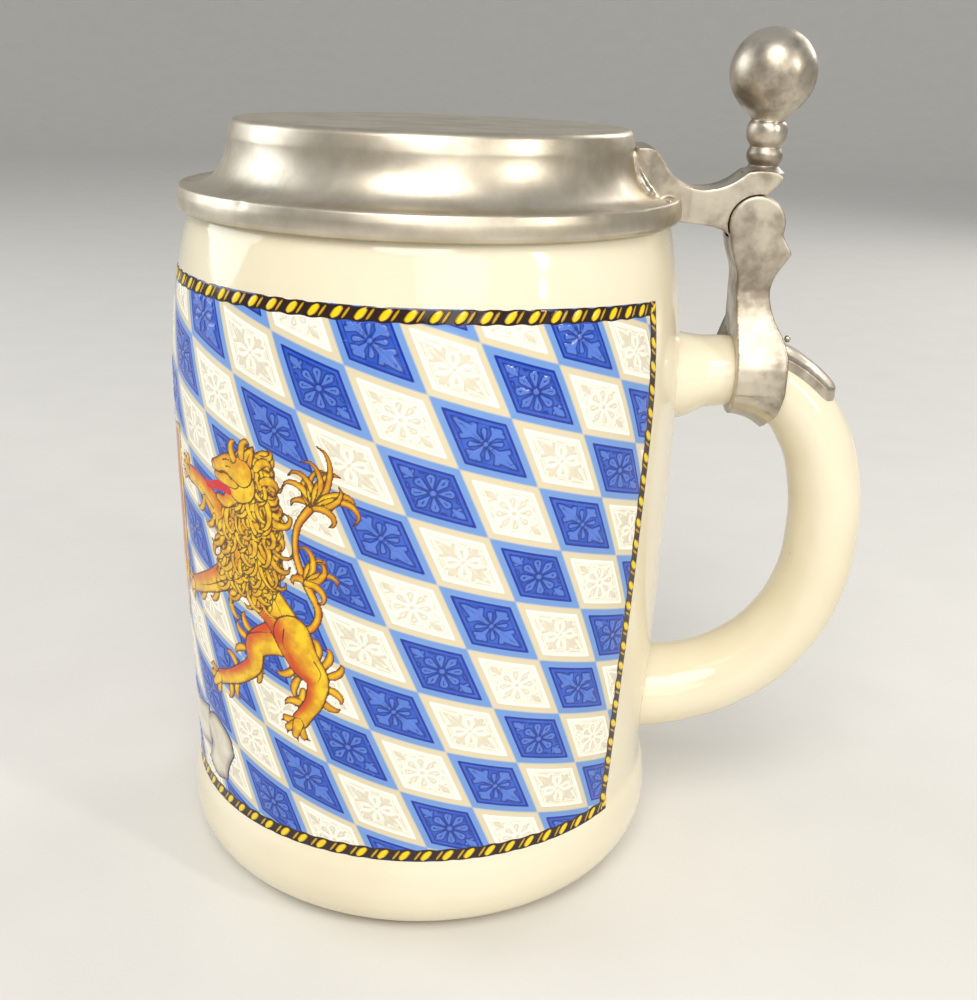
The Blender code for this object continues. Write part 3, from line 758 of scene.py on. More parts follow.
def draw_lion(decal, side):
    """A plain heraldic lion on its hind legs, facing the middle of the panel."""
    random = np.random.default_rng(11)

    def fur(points, radii, warm=0.0, rim=0.17):
        decal.fur(points, radii, side, warm, rim)

    def lock(x, y, angle, length, radius=0.75, bend=45.0, warm=0.15):
        fur(*curl((x, y), angle, length, radius, bend), warm, 0.14)

    def paw(x, y, angle, size=1.0):
        for spread_out in (-62, 58, -22, 18):
            a = math.radians(angle + spread_out)
            tip = (x + 2.6 * size * math.cos(a), y + 2.6 * size * math.sin(a))
            claw = (x + 3.7 * size * math.cos(a + 0.25), y + 3.7 * size * math.sin(a + 0.25))
            fur([tip, claw], [0.42 * size, 0.10], 0.9, 0.10)
            fur([(x, y), tip], [1.1 * size, 0.78 * size], 0.25, 0.14)

    fur([(56.4, 60.0), (58.8, 60.8), (60.0, 64.0), (58.0, 68.4)], [0.85, 0.75, 0.7, 0.8], 0.6)
    fur([(57.6, 69.0), (56.1, 73.6), (56.5, 78.4), (59.2, 82.4)], [0.8, 0.65, 0.65, 0.8], 0.6)
    for angle, length, bend, size in (
        (150, 3.2, 60, 0.7), (84, 6.4, -60, 0.62), (62, 7.0, 50, 0.66), (40, 6.4, -50, 0.62),
        (18, 5.8, 60, 0.66), (-12, 5.0, -60, 0.7),
    ):
        lock(57.9, 68.8, angle, length, size, bend, 0.4)
    for angle, length, bend in (
        (150, 4.4, 40), (134, 5.6, -50), (120, 6.8, 44), (108, 7.0, -44), (96, 7.6, 50),
        (84, 7.4, -40), (70, 8.4, 46), (58, 10.2, 36), (44, 7.6, -50), (28, 9.0, -62),
        (12, 6.0, 40), (-4, 4.8, -60),
    ):
        lock(59.8, 82.2, angle, length, random.uniform(0.55, 0.72), bend, 0.35)

    for x, y, angle, bend in ((36.4, 62.6, -100, -40), (31.6, 60.6, -110, -40), (40.5, 62.0, -90, 40)):
        lock(x, y, angle, 4.4, 0.8, bend)
    fur([(41.0, 66.4), (36.0, 63.4), (30.4, 60.8), (25.6, 58.8)], [3.1, 2.3, 1.85, 1.6], 0.8)
    paw(25.0, 58.5, 195)

    for x, y, angle, bend in (
        (45.4, 56.8, 140, -50), (44.6, 55.2, 165, -50), (44.0, 53.0, 190, 40),
        (48.0, 53.0, -110, 40), (46.6, 50.6, -70, -40), (41.0, 45.4, -110, 40),
        (38.6, 44.4, -80, -40), (41.0, 48.4, 120, 50),
    ):
        lock(x, y, angle, 3.3, 0.8, bend * 0.7, 0.3)
    limb = [(54.0, 57.6), (50.0, 56.6), (46.4, 54.2), (45.8, 50.4), (42.0, 47.2), (38.2, 45.2), (34.8, 43.8)]
    fur(limb, [3.6, 3.0, 2.4, 1.9, 1.75, 1.45, 1.5], 1.0)
    paw(34.6, 43.6, 205)

    fur([(45.2, 69.0), (48.4, 65.0), (52.4, 61.2), (55.0, 57.6)], [4.7, 4.0, 3.4, 3.7], 1.0)
    for x, y, angle, bend in (
        (59.6, 55.4, 80, 50), (60.8, 54.0, 52, 50), (61.6, 52.2, 20, 50), (61.2, 49.8, -15, -50),
        (60.0, 47.4, -40, 40), (54.8, 52.0, -140, -40), (55.6, 50.4, -120, 40),
        (56.6, 48.4, -100, -40), (56.4, 45.8, 170, 40),
    ):
        lock(x, y, angle, 3.4, 0.8, bend * 0.7, 0.3)
    limb = [(54.8, 58.4), (56.6, 54.6), (59.4, 51.2), (58.8, 47.0), (57.2, 44.4), (55.8, 42.4)]
    fur(limb, [3.8, 3.3, 2.3, 1.8, 1.6, 1.65], 1.0)
    paw(55.4, 41.8, 235)

    fur([(40.0, 75.0), (36.0, 78.4), (31.6, 80.4), (27.4, 80.8)], [2.9, 2.2, 1.75, 1.55], 0.8)
    for x, y, angle, bend in ((33.6, 78.0, -110, -40), (37.0, 75.6, -120, -40)):
        lock(x, y, angle, 3.8, 0.75, bend)
    paw(26.8, 80.8, 150)

    fur([(46.6, 87.0), (47.4, 81.0), (45.6, 74.0), (44.4, 67.5)], [3.2, 3.8, 5.0, 4.4], 0.5)
    for row in range(15):
        y = 89.0 - 1.85 * row
        left = np.interp(y, [64, 70, 76, 82, 90], [42.4, 39.0, 40.4, 44.0, 46.4])
        right = np.interp(y, [64, 70, 76, 82, 90], [47.5, 50.4, 50.8, 50.6, 49.0])
        for x, lean, bend in ((left, -158, 55), (right, 4, -70), (right - 0.4, -30, 62)):
            lean, size = lean + random.uniform(-16, 16), random.uniform(0.55, 0.85)
            lock(x, y + random.uniform(-0.6, 0.6), lean, random.uniform(3.0, 4.6), size, bend, 0.1)
    for row in range(12):
        y = 66.0 + 1.9 * row
        left = np.interp(y, [64, 70, 76, 82, 90], [42.4, 39.4, 40.8, 44.4, 46.6])
        right = np.interp(y, [64, 70, 76, 82, 90], [47.0, 49.8, 50.4, 50.0, 48.6])
        count = max(3, int(round((right - left) / 1.5)) + 1)
        for k in random.permutation(count):
            share = k / (count - 1)
            x = left + (right - left) * share + random.uniform(-0.5, 0.5)
            lean = -118 + 60 * share + random.uniform(-18, 18)
            bend = random.choice([-1, 1]) * random.uniform(35, 80)
            lock(
                x, y + random.uniform(-0.6, 0.6), lean, random.uniform(4.2, 6.6),
                random.uniform(0.42, 0.72), bend, 0.15,
            )

    fur([(46.2, 87.0), (47.0, 88.6), (47.9, 90.2)], [1.5, 1.1, 0.3], 0.5)
    fur([(42.9, 81.2), (40.6, 79.3), (38.6, 79.6)], [1.7, 1.15, 0.75], 0.7)
    decal.add("tongue", [(42.0, 81.4), (38.8, 81.7), (35.6, 81.0), (34.8, 81.6)], [0.6, 0.85, 0.6, 0.3], side)
    fur([(45.0, 83.4), (44.6, 83.2)], [3.3, 3.2], 0.4)
    fur([(43.0, 83.8), (40.6, 83.4), (38.6, 83.6)], [1.7, 1.25, 0.95], 0.6)
    fur([(45.2, 85.4), (42.0, 86.2), (39.0, 85.4), (37.9, 85.2)], [2.5, 1.9, 1.3, 1.0], 0.3)
    for x, y, angle in ((43.4, 87.4, 120), (45.4, 88.2, 95), (48.6, 86.8, 50), (49.8, 84.8, 20)):
        lock(x, y, angle, 3.4, 0.8, -50)
    for points in (
        [(40.5, 86.7), (42.1, 87.0), (43.3, 86.2)], [(41.3, 85.7), (42.3, 85.8), (42.9, 85.4)],
        [(37.5, 85.7), (38.1, 85.2), (38.0, 84.7)], [(39.5, 84.4), (41.4, 84.6), (43.2, 82.8)],
        [(46.6, 87.6), (47.4, 89.2)], [(48.6, 68.0), (51.6, 64.2), (53.4, 61.0)],
        [(53.2, 59.4), (53.0, 56.4), (54.8, 54.0)], [(59.0, 54.6), (60.2, 52.6), (59.6, 50.8)],
        [(44.4, 55.8), (47.4, 57.2), (50.6, 58.0)], [(37.0, 77.0), (33.4, 79.2), (29.4, 80.2)],
        [(38.4, 64.0), (33.6, 61.6), (28.6, 59.8)],
    ):
        decal.add("ink", points, np.linspace(0.16, 0.06, len(points)), side)


def draw_shield(decal):
    """A plain shield with a chevron and three roundels, over a blank ribbon."""
    half, top, foot, middle = 22.0, 88.0, 40.0, 66.0
    shape = [(-half, top), (-half * 0.5, top - 1.8), (0, top + 1.2), (half * 0.5, top - 1.8), (half, top)]
    right = [
        (half, 80.0), (half, 66.0), (half * 0.96, 58.0), (half * 0.80, 50.5), (half * 0.48, 44.5),
        (0, foot),
    ]
    right = [tuple(p) for p in smooth_line(right, 5)]
    shape += right + [(-x, y) for x, y in right[-2::-1]]
    layers = decal.layers
    decal.outline("field", [(x * 0.91, middle + (y - middle) * 0.925) for x, y in shape])
    field = layers["field"].copy()
    for points in ([(-17.0, 58.0), (0.0, 72.0)], [(0.0, 72.0), (17.0, 58.0)]):
        decal.add("gold", points, [2.1, 2.1])
    for x, y in ((-10.5, 76.5), (10.5, 76.5), (0.0, 54.5)):
        decal.add("gold", [(x, y), (x + 0.01, y)], [3.3, 3.3])
    device = layers["gold"].copy()
    layers["gold"][:] = -3.0
    decal.outline("gold", shape)
    layers["gold"] = np.minimum(layers["gold"], np.maximum(-field, device)).astype(np.float32)
    layers["field"] = np.minimum(field, -device).astype(np.float32)
    layers["ink"] = np.where(layers["gold"] > -0.5, 0.17 - np.abs(layers["gold"]), -3.0).astype(np.float32)
    for side in (-1, 1):
        tail = smooth_line([(26, 31.5), (31, 34.4), (36.5, 32.0), (38.0, 28.4)], 5)
        tail += (
            smooth_line([(38.0, 28.4), (35.8, 25.0), (34.6, 21.6)], 4)
            + smooth_line([(34.6, 21.6), (30, 20.4), (26, 22.4)], 4)
        )
        decal.outline("ribbon", tail + [(28.6, 27.0)], side)
    edge = [tuple(p) for p in smooth_line([(0, 35.0), (10, 34.4), (20, 33.2), (28.4, 34.8)], 6)]
    edge = [(-x, y) for x, y in edge[:0:-1]] + edge
    decal.outline("ribbon", edge + [(x, y - 8.8) for x, y in edge[::-1]])


def relief(layers):
    """Height above the glaze."""
    cell = np.abs(layers["lozenge"])
    height = 0.04 + 0.04 * rise(cell, 0.75, 1.25)
    height += 0.10 * rise(layers["ornament"], -0.12, 0.16) * rise(cell, 1.5, 1.8)
    for name, lift in (("ribbon", 0.10), ("field", 0.06)):
        lifted = np.maximum(height, 0.05 + lift * rise(layers[name], -0.15, 0.5))
        height = np.where(layers[name] > -0.2, lifted, height)
    gold = 0.08 + 0.15 * rise(layers["gold"], -0.1, 1.2) - 0.07 * rise(layers["ink"], -0.08, 0.12)
    height = np.where(layers["gold"] > -0.15, np.maximum(height, gold), height)
    return np.where(layers["rope"] > -0.05, 0.07 + 0.14 * rise(layers["strand"], -0.1, 0.7), height)


def panel_piece(name, decal, points, normals, first, last):
    """One closed stretch of the panel between two columns, its back buried in the wall."""
    front = points[:, first : last + 1]
    rows, columns = front.shape[:2]
    index = np.arange(rows * columns).reshape(rows, columns)
    quads = np.stack([index[:-1, :-1], index[:-1, 1:], index[1:, 1:], index[1:, :-1]], -1)
    rim = [
        np.stack([(BELLY - 4.5 * MM) * np.cos(a), (BELLY - 4.5 * MM) * np.sin(a), z], -1)
        for a, z in ((np.arctan2(front[r, :, 1], front[r, :, 0]), front[r, :, 2]) for r in (0, -1))
    ]
    low = rows * columns + np.arange(columns)
    high = low + columns
    bottom = np.stack([index[0, 1:], index[0, :-1], low[:-1], low[1:]], -1)
    top = np.stack([index[-1, :-1], index[-1, 1:], high[1:], high[:-1]], -1)
    back = np.stack([low[1:], low[:-1], high[:-1], high[1:]], -1)
    faces = np.concatenate([quads.reshape(-1, 4), bottom, top, back]).tolist()
    faces.append(index[:, 0].tolist() + [int(high[0]), int(low[0])])
    faces.append((index[:, -1].tolist() + [int(high[-1]), int(low[-1])])[::-1])
    verts = np.concatenate([front.reshape(-1, 3), rim[0], rim[1]])
    mesh = mesh_from(verts.tolist(), faces, name)
    for key in LAYERS:
        values = np.full(len(verts), -3.0, np.float32)
        values[: rows * columns] = decal.layers[key][:, first : last + 1].reshape(-1)
        mesh.attributes.new(key, "FLOAT", "POINT").data.foreach_set("value", values)
    piece = add_piece(name, mesh, ENAMEL, "stein", ["transfer_panel"])
    outward = np.zeros((len(verts), 3))
    outward[: rows * columns] = normals[:, first : last + 1].reshape(-1, 3)
    mesh.normals_split_custom_set_from_vertices(outward.tolist())
    return piece


def make_panel():
    decal = Decal()
    draw_cells(decal)
    draw_shield(decal)
    for side in (-1, 1):
        draw_lion(decal, side)
    draw_rope(decal)
    layers = decal.layers
    cover = np.maximum.reduce([layers[n] for n in ("gold", "tongue", "field", "ribbon", "rope")])
    layers["ornament"] = np.where(cover > -0.1, -1.0, layers["ornament"]).astype(np.float32)
    height = relief(layers)
    height[0, :] = height[-1, :] = -0.08
    height[:, 0] = height[:, -1] = -0.08
    z = decal.v * MM
    wall = np.vectorize(wall_radius)(np.clip(z, WAIST_HEIGHT, None))
    wall += np.interp(decal.v, [14.8, 17.4, 20.0], [0.9, 0.15, 0.0]) * MM
    radius = wall + height * MM
    angle = math.pi + decal.u * MM / BELLY
    points = np.stack([radius * np.cos(angle), radius * np.sin(angle), z], -1)
    along = np.gradient(points, axis=1)
    up = np.gradient(points, axis=0)
    normals = np.cross(along, up)
    normals /= np.linalg.norm(normals, axis=2, keepdims=True)
    cuts = [0] + [int(np.argmin(np.abs(decal.line - u))) for u in (-LION_TO, -LION_FROM, LION_FROM, LION_TO)]
    cuts.append(len(decal.line) - 1)
    names = (
        "transfer_far_end", "transfer_far_lion", "transfer_shield", "transfer_near_lion",
        "transfer_near_end",
    )
    for name, first, last in zip(names, cuts[:-1], cuts[1:]):
        panel_piece(name, decal, points, normals, first, last)


# ---------------------------------------------------------------- pewter lid
def make_lid():
    corner = (34.2 * MM, LID_TOP - 1.3 * MM)
    top = [(r, LID_TOP - 0.25 * MM * (1 - (r / (30.0 * MM)) ** 2)) for r in spread(2.0 * MM, 30.0 * MM, 14)]
    outer = top + [(32.6 * MM, LID_TOP)] + arc(corner, 1.3 * MM, 90, 8, 10)
    foot, waist, shoulder, step = CAVETTO
    for k in range(25):
        a = math.radians(180 + 90 * k / 24)
        outer.append((foot + (foot - waist) * math.cos(a), shoulder + (shoulder - step) * math.sin(a)))
    outer += [(42.9 * MM, step - 0.12 * MM), (43.4 * MM, step - 0.08 * MM), (43.7 * MM, step + 0.06 * MM)]
    outer += arc((44.05 * MM, step - 0.45 * MM), 0.60 * MM, 105, 15, 6)
    outer += [(44.74 * MM, step - 0.75 * MM), (44.88 * MM, step - 1.2 * MM)]
    band = LID_RADIUS
    outer += [(band - 0.03 * MM, step - 1.7 * MM), (band, step - 2.4 * MM)]
    outer += arc((band - 1.0 * MM, LID_BOTTOM + 1.15 * MM), 1.0 * MM, 0, -70, 7)
    outer += [(band - 1.0 * MM, LID_BOTTOM)]
    inner = [
        (43.6 * MM, LID_BOTTOM + 0.1 * MM), (43.4 * MM, 126.0 * MM), (42.7 * MM, 126.6 * MM),
        (38.6 * MM, 127.1 * MM), (37.2 * MM, 129.2 * MM), (35.8 * MM, 132.8 * MM), (34.9 * MM, 136.0 * MM),
        (34.0 * MM, 138.1 * MM), (32.0 * MM, 138.4 * MM),
    ]
    profile = [(0.0, LID_TOP - 0.25 * MM)] + outer + inner + [(0.0, 138.4 * MM)]
    lid = turned("pewter_lid", profile, 480)
    places = np.array([v.co for v in lid.vertices])
    angle = np.arctan2(places[:, 1], places[:, 0])
    outside = places[:, 2] > LID_BOTTOM + 0.5 * MM
    wobble = 0.06 * MM * np.sin(3 * angle + 0.6) + 0.04 * MM * np.sin(7 * angle + places[:, 2] * 500)
    for _ in range(26):
        turn, z = rng.uniform(-math.pi, math.pi), rng.choice([128.4, 128.1, 125.0]) * MM
        away = np.hypot((angle - turn) * LID_RADIUS / (0.9 * MM), (places[:, 2] - z) / (0.5 * MM))
        wobble -= rng.uniform(0.06, 0.18) * MM * np.exp(-away**2)
    scale = 1 + np.where(outside, wobble, 0) / np.maximum(np.hypot(places[:, 0], places[:, 1]), 5 * MM)
    places[:, :2] *= scale[:, None]
    lid.vertices.foreach_set("co", places.reshape(-1))
    return add_piece("pewter_lid", lid, SPUN_PEWTER, "lid_assembly", ["lid"])


# ---------------------------------------------------------------- cast pewter
def plate_mesh(name, outline, half_thickness, axis="Y", middle=0.0):
    """A flat outline in millimetres, extruded both ways; its plane is XZ, YZ or XY."""
    curve = bpy.data.curves.new(name, "CURVE")
    curve.dimensions = "2D"
    curve.fill_mode = "BOTH"
    curve.extrude = half_thickness * MM
    spline = curve.splines.new("POLY")
    spline.points.add(len(outline) - 1)
    for point, (u, v) in zip(spline.points, outline):
        point.co = (u * MM, v * MM, 0.0, 1.0)
    spline.use_cyclic_u = True
    turns = {
        "Y": Matrix.Rotation(math.pi / 2, 4, "X"),
        "X": Matrix.Rotation(math.pi / 2, 4, "Z") @ Matrix.Rotation(math.pi / 2, 4, "X"),
        "Z": Matrix.Translation((0, 0, middle * MM)),
    }
    return solid_from(curve, turns[axis])


def rod_mesh(radius, low_y, high_y):
    """A round rod along the hinge's line, in millimetres."""
    mesh = bpy.data.meshes.new("rod")
    middle = Matrix.Translation((HINGE.x, (low_y + high_y) / 2 * MM, HINGE.z))
    shape = bmesh.new()
    bmesh.ops.create_cone(
        shape, cap_ends=True, segments=48, radius1=radius * MM, radius2=radius * MM,
        depth=(high_y - low_y) * MM, matrix=middle @ Matrix.Rotation(math.pi / 2, 4, "X"),
    )
    shape.to_mesh(mesh)
    shape.free()
    return mesh


def combine(base, steps):
    """Boolean steps on a mesh: each is (operation, other mesh)."""
    thing = bpy.data.objects.new("blank", base)
    bpy.context.scene.collection.objects.link(thing)
    tools = []
    for operation, mesh in steps:
        tool = bpy.data.objects.new("tool", mesh)
        bpy.context.scene.collection.objects.link(tool)
        modifier = thing.modifiers.new(operation, "BOOLEAN")
        modifier.operation = operation
        modifier.object = tool
        modifier.solver = "EXACT"
        tools.append(tool)
    made = evaluated(thing)
    for tool in tools:
        bpy.data.objects.remove(tool, do_unlink=True)
    return made


def evaluated(thing):
    bpy.context.view_layer.update()
    mesh = bpy.data.meshes.new_from_object(thing.evaluated_get(bpy.context.evaluated_depsgraph_get()))
    bpy.data.objects.remove(thing, do_unlink=True)
    return mesh


def cast(mesh, voxel, passes):
    """Round a sharp blank over, the way a casting comes out of its mould."""
    thing = bpy.data.objects.new("casting", mesh)
    bpy.context.scene.collection.objects.link(thing)
    remesh = thing.modifiers.new("remesh", "REMESH")
    remesh.mode = "VOXEL"
    remesh.voxel_size = voxel * MM
    relax = thing.modifiers.new("relax", "SMOOTH")
    relax.factor = 0.5
    relax.iterations = passes
    return evaluated(thing)


def bead(shape, place, size):
    """An egg-shaped blob of solder, in millimetres, added to a mesh in the making."""
    matrix = Matrix.Translation(Vector(place) * MM) @ Matrix.Diagonal((*(Vector(size) * MM), 1.0))
    bmesh.ops.create_icosphere(shape, subdivisions=3, radius=1.0, matrix=matrix)


HX, HZ = HINGE.x / MM, HINGE.z / MM


def make_mount():
    disc = arc((HX, HZ), 4.95, -18, 200, 40)
    left = smooth_line(
        [(53.5, 122.4), (54.2, 119.4), (55.4, 115.6), (55.6, 112.0),
         (56.0, 106.0), (56.5, 100.0), (56.5, 94.5)],
        5,
    )
    right = smooth_line(
        [(65.6, 94.5), (65.7, 101.0), (64.6, 104.6), (62.6, 108.2),
         (61.6, 112.2), (62.1, 115.2), (63.5, 117.6), (64.7, 119.5)],
        5,
    )
    right += smooth_line([(64.7, 119.5), (64.2, 120.6), (63.3, 121.9)], 3)[1:]
    outline = disc + [tuple(p) for p in left[1:]] + [tuple(p) for p in right]
    side = [
        (9.4, 90.0), (9.6, 95.0), (9.55, 97.0), (9.25, 99.3), (7.45, 105.6), (5.8, 111.4),
        (5.52, 112.8), (5.5, 131.0),
    ]
    front = side + [(-y, z) for y, z in reversed(side)]
    span = [(56.5, 80), (61.6, 80), (63.4, 88.0), (64.9, 91.0), (65.7, 95.0), (65.7, 110), (56.5, 110)]
    band_box = plate_mesh("band_box", span, 20.0)
    sleeve = combine(tube_mesh("sleeve", 1.6, 2, 6, 8, 10), [("INTERSECT", band_box)])
    width = 5.8
    tongue_plan = [(60.0, -width), (60.0, width)]
    tongue_plan += [
        (72.9 + 3.7 * math.cos(a), width * math.sin(a))
        for a in (math.radians(90 - 12 * k) for k in range(16))
    ]
    strip = combine(
        tube_mesh("strip", 1.25, 2, 7, 8, 10),
        [("INTERSECT", plate_mesh("tongue", tongue_plan, 9.0, "Z", 100.5))],
    )
    toe = plate_mesh("toe", [(57.4, 108.0), (56.0, 104.0), (54.9, 100.6), (54.7, 97.0), (57.4, 95.0)], 2.4)
    toe.transform(Matrix.Translation((0, 8.2 * MM, 0)))
    reach = 5.1
    slot = arc((HX, HZ), reach, -170, -26, 26) + [(63.6, 121.95), (72, 124), (72, 136), (44, 136), (44, 120)]
    blank = combine(
        plate_mesh("fork", outline, 12.0),
        [
            ("INTERSECT", plate_mesh("front", front, 90.0, "X")),
            ("UNION", toe),
            ("UNION", sleeve),
            ("UNION", strip),
            ("DIFFERENCE", tube_mesh("core", -0.35, 1, 9, 8, 10)),
            ("DIFFERENCE", plate_mesh("slot", slot, 2.5)),
        ],
    )
    burr = bmesh.new()
    burr.from_mesh(blank)
    bead(burr, (66.2, -2.6, 103.9), (0.7, 0.6, 0.75))
    burr.to_mesh(blank)
    burr.free()
    mesh = cast(blank, 0.24, 7)
    return add_piece("cast_handle_mount", mesh, CAST_PEWTER, "stein", ["handle_mount"])


def make_arm():
    top = smooth_line(
        [(36.0, 137.0), (38.6, 136.9), (40.2, 135.6), (42.2, 132.8), (44.6, 131.0),
         (47.4, 130.2), (50.4, 130.4), (53.2, 131.5), (55.8, 133.4)],
        5,
    )
    tail = [(58.0, 133.7), (60.8, 133.5), (61.9, 132.5), (61.0, 131.2), (59.5, 129.8)]
    knuckle = arc((HX, HZ), 4.6, 70, -140, 40)
    bottom = smooth_line([(54.0, 121.9), (52.2, 123.2), (49.6, 123.9), (46.6, 124.2), (43.0, 124.6)], 4)
    outline = [(35.0, 131.0)] + [tuple(p) for p in top] + tail + knuckle + [tuple(p) for p in bottom]
    plan = [(32.0, -8.2), (38.0, -8.0), (42.0, -7.0), (46.0, -5.5), (49.0, -5.15), (64.0, -5.15)]
    plan += [(x, -y) for x, y in reversed(plan)]
    blank = combine(
        plate_mesh("arm", outline, 9.0),
        [
            ("INTERSECT", plate_mesh("plan", plan, 20.0, "Z", 128.0)),
            ("DIFFERENCE", rod_mesh(5.1, 2.2, 9.0)),
            ("DIFFERENCE", rod_mesh(5.1, -9.0, -2.2)),
        ],
    )
    solder = bmesh.new()
    solder.from_mesh(blank)
    bead(solder, (37.6, 0.0, 134.9), (2.3, 5.8, 2.1))
    foot, waist, shoulder, step = (v / MM for v in CAVETTO)
    for side in (-1, 1):
        for k in range(46):
            a = math.radians(184 + 92 * k / 45)
            reach = foot + (foot - waist) * math.cos(a)
            y = side * (7.2 - 0.22 * max(0.0, reach - 38.0))
            size = 0.55 + 0.75 * math.sin(math.pi * min(1.0, k / 40)) + rng.uniform(-0.08, 0.08)
            z = shoulder + (shoulder - step) * math.sin(a)
            bead(solder, (math.sqrt(reach**2 - y**2) - 0.15, y, z - 0.1), (size, size * 1.2, size))
    for x, y, z, size in ((42.8, -8.0, 128.0, 1.3), (42.6, -10.2, 128.1, 1.0), (42.6, 8.8, 128.0, 1.2)):
        bead(solder, (x - 0.012 * y * y, y, z), (size, size * 1.6, size * 0.6))
    solder.to_mesh(blank)
    solder.free()
    mesh = cast(blank, 0.22, 6)
    return add_piece("cast_lid_arm", mesh, CAST_PEWTER, "lid_assembly", ["lid_arm"])


def make_thumb():
    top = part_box("thumb_lift")[1].z
    radius = 7.5 * MM
    middle = top - radius
    axis_x = 58.9 * MM
    ball = arc((0.0, middle), radius, 88, -36, 40)
    pear = smooth_line(
        [(6.05 * MM, middle - 4.45 * MM), (4.9 * MM, 143.9 * MM),
         (3.75 * MM, 142.9 * MM), (3.2 * MM, 142.3 * MM)],
        6,
    )
    profile = [(0.0, top)] + ball + [tuple(p) for p in pear[1:]]
    beads = [
        (2.85, 141.9), (3.35, 141.2), (3.55, 140.0), (3.35, 138.6), (2.85, 137.7), (2.72, 137.4),
        (2.9, 137.0), (3.15, 136.3), (3.1, 135.4), (2.75, 134.6), (2.7, 134.2), (3.3, 133.6), (3.9, 133.1),
    ]
    profile += [(p[0] * MM, p[1] * MM) for p in smooth_line(beads, 5)]
    profile += [(0.0, 133.1 * MM)]
    mesh = turned("thumb_ball", profile, 96)
    mesh.transform(Matrix.Translation((axis_x, 0, 0)))
    return add_piece("thumb_ball", mesh, CAST_PEWTER, "lid_assembly", ["thumb_lift"])


def make_plugs():
    """Pewter plugs dressed flush with the cheeks."""
    face = 5.42 * MM
    for name, node, side in (("plug_near", "pin_plug_right", -1), ("plug_far", "pin_plug_left", 1)):
        profile = [(0.0, face), (0.6 * MM, face), (1.05 * MM, face - 0.01 * MM), (1.2 * MM, face - 0.05 * MM)]
        profile += [(1.3 * MM, face - 0.25 * MM), (1.3 * MM, 4.7 * MM), (0.0, 4.7 * MM)]
        mesh = turned(name, profile, 48)
        mesh.transform(Matrix.Rotation(side * -math.pi / 2, 4, "X"))
        mesh.transform(Matrix.Translation((HINGE.x, 0, HINGE.z)))
        add_piece(name, mesh, CAST_PEWTER, "stein", [node])


pin = bpy.data.objects["hinge_pin"].data
pin.materials.clear()
pin.materials.append(STEEL)


# ---------------------------------------------------------------- floor, light, camera
def make_stage():
    """A pale floor that sweeps up into a low round wall."""
    steps = [(0.0, 0.0), (0.4, 0.0), (1.0, 0.0), (1.8, 0.0)]
    steps += arc((1.8, 0.8), 0.8, -85, 0, 16) + [(2.6, 1.5)]
    ring_size = 96
    turns = np.linspace(0, math.tau, ring_size, False)
    verts = [(r * math.cos(a), r * math.sin(a), z) for r, z in steps[1:] for a in turns]
    verts.append((0.0, 0.0, 0.0))
    faces = [(len(verts) - 1, k, (k + 1) % ring_size) for k in range(ring_size)]
    for row in range(len(steps) - 2):
        for k in range(ring_size):
            a, b = row * ring_size + k, row * ring_size + (k + 1) % ring_size
            faces.append((a, a + ring_size, b + ring_size, b))
    floor = mesh_from(verts, faces, "floor")
    floor.shade_smooth()
    sweep = bpy.data.objects.new("floor", floor)
    bpy.context.scene.collection.objects.link(sweep)
    made, paint, shader = material("pale_floor")
    grain = paint.noise(paint.place(), 40.0, 3.0)
    wire(paint, shader, colour=paint.mix(grain, rgb(216, 214, 209), rgb(224, 222, 217)), roughness=0.6)
    floor.materials.append(made)


BULB_COLOUR = (1.0, 0.95, 0.86)
LIGHT_TARGET = Vector((0.0, 0.0, 0.10))
# Name, place, width, height or None for a round light, watts and colour
AREA_LIGHTS = (
    ("key", (-0.05, -0.80, 0.95), 0.75, None, 8.9, (1.0, 0.965, 0.91)),
    ("fill", (0.25, -1.0, 0.45), 0.60, None, 2.3, (1.0, 0.97, 0.92)),
    ("window", (-0.95, 0.15, 0.45), 0.7, None, 3.8, (0.92, 0.96, 1.0)),
    ("rim", (0.7, 0.75, 0.6), 0.5, None, 3.2, (1.0, 0.98, 0.95)),
    ("strip", (0.53, -0.365, 0.37), 0.05, 0.19, 1.0, BULB_COLOUR),
)


def place_light(name, kind, place, power, colour):
    lamp = bpy.data.lights.new(name, kind)
    lamp.energy = power
    lamp.color = colour
    thing = bpy.data.objects.new(name, lamp)
    thing.location = place
    bpy.context.scene.collection.objects.link(thing)
    return thing, lamp


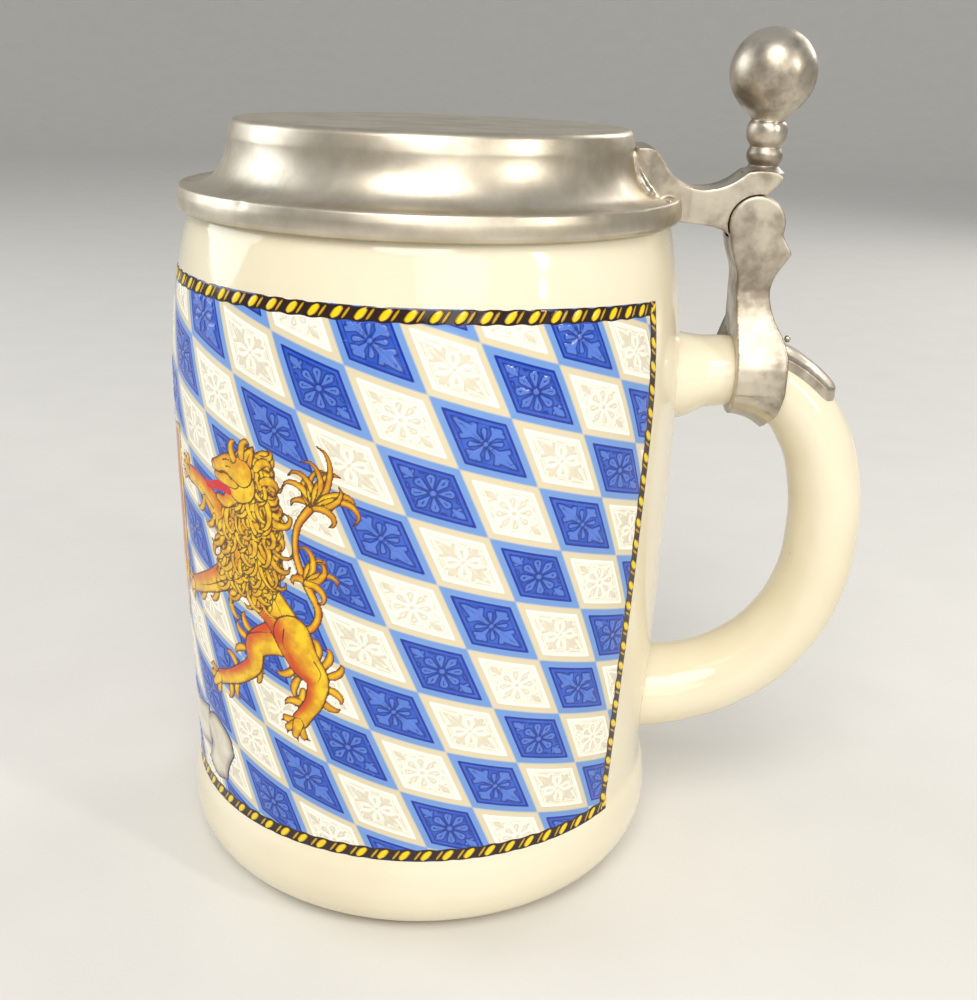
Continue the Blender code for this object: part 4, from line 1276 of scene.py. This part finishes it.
def make_light():
    world = bpy.data.worlds.new("studio")
    bpy.context.scene.world = world
    world.use_nodes = True
    background = world.node_tree.nodes["Background"]
    background.inputs["Color"].default_value = (0.97, 0.98, 1.0, 1.0)
    background.inputs["Strength"].default_value = 0.47
    for name, place, width, height, power, colour in AREA_LIGHTS:
        thing, lamp = place_light(name, "AREA", place, power, colour)
        thing.rotation_euler = (LIGHT_TARGET - Vector(place)).to_track_quat("-Z", "Y").to_euler()
        lamp.shape = "RECTANGLE" if height else "DISK"
        lamp.size = width
        if height:
            lamp.size_y = height
    bulb = place_light("bulb", "POINT", (0.52, -0.38, 0.225), 0.25, BULB_COLOUR)[1]
    bulb.shadow_soft_size = 0.020
    bpy.context.scene.view_settings.view_transform = "Standard"


CAMERA_LENS = 43.09
CAMERA_DISTANCE = 222.66 * MM
CAMERA_HEIGHT = 149.13 * MM
# Degrees: where the camera stands round the stein, where it faces, its tilt down and its roll
CAMERA_ANGLES = (-85.0, 91.84, 19.91, 2.063)


def make_camera():
    """A near view with the handle on the right, a little above the lid's height."""
    azimuth, heading, tilt, roll = (math.radians(a) for a in CAMERA_ANGLES)
    ahead = Vector((math.cos(heading) * math.cos(tilt), math.sin(heading) * math.cos(tilt), -math.sin(tilt)))
    right = ahead.cross(Vector((0, 0, 1))).normalized()
    up = right.cross(ahead)
    right, up = right * math.cos(roll) + up * math.sin(roll), up * math.cos(roll) - right * math.sin(roll)
    camera = bpy.data.cameras.new("camera")
    camera.sensor_width = 36.0
    camera.lens = CAMERA_LENS
    camera.clip_start = 0.01
    thing = bpy.data.objects.new("camera", camera)
    matrix = Matrix((right, up, -ahead)).transposed().to_4x4()
    out = CAMERA_DISTANCE
    matrix.translation = (out * math.cos(azimuth), out * math.sin(azimuth), CAMERA_HEIGHT)
    thing.matrix_world = matrix
    bpy.context.scene.collection.objects.link(thing)
    bpy.context.scene.camera = thing


make_camera()
make_stage()
make_light()
make_vessel()
make_handle()
make_panel()
make_lid()
make_mount()
make_arm()
make_thumb()
make_plugs()
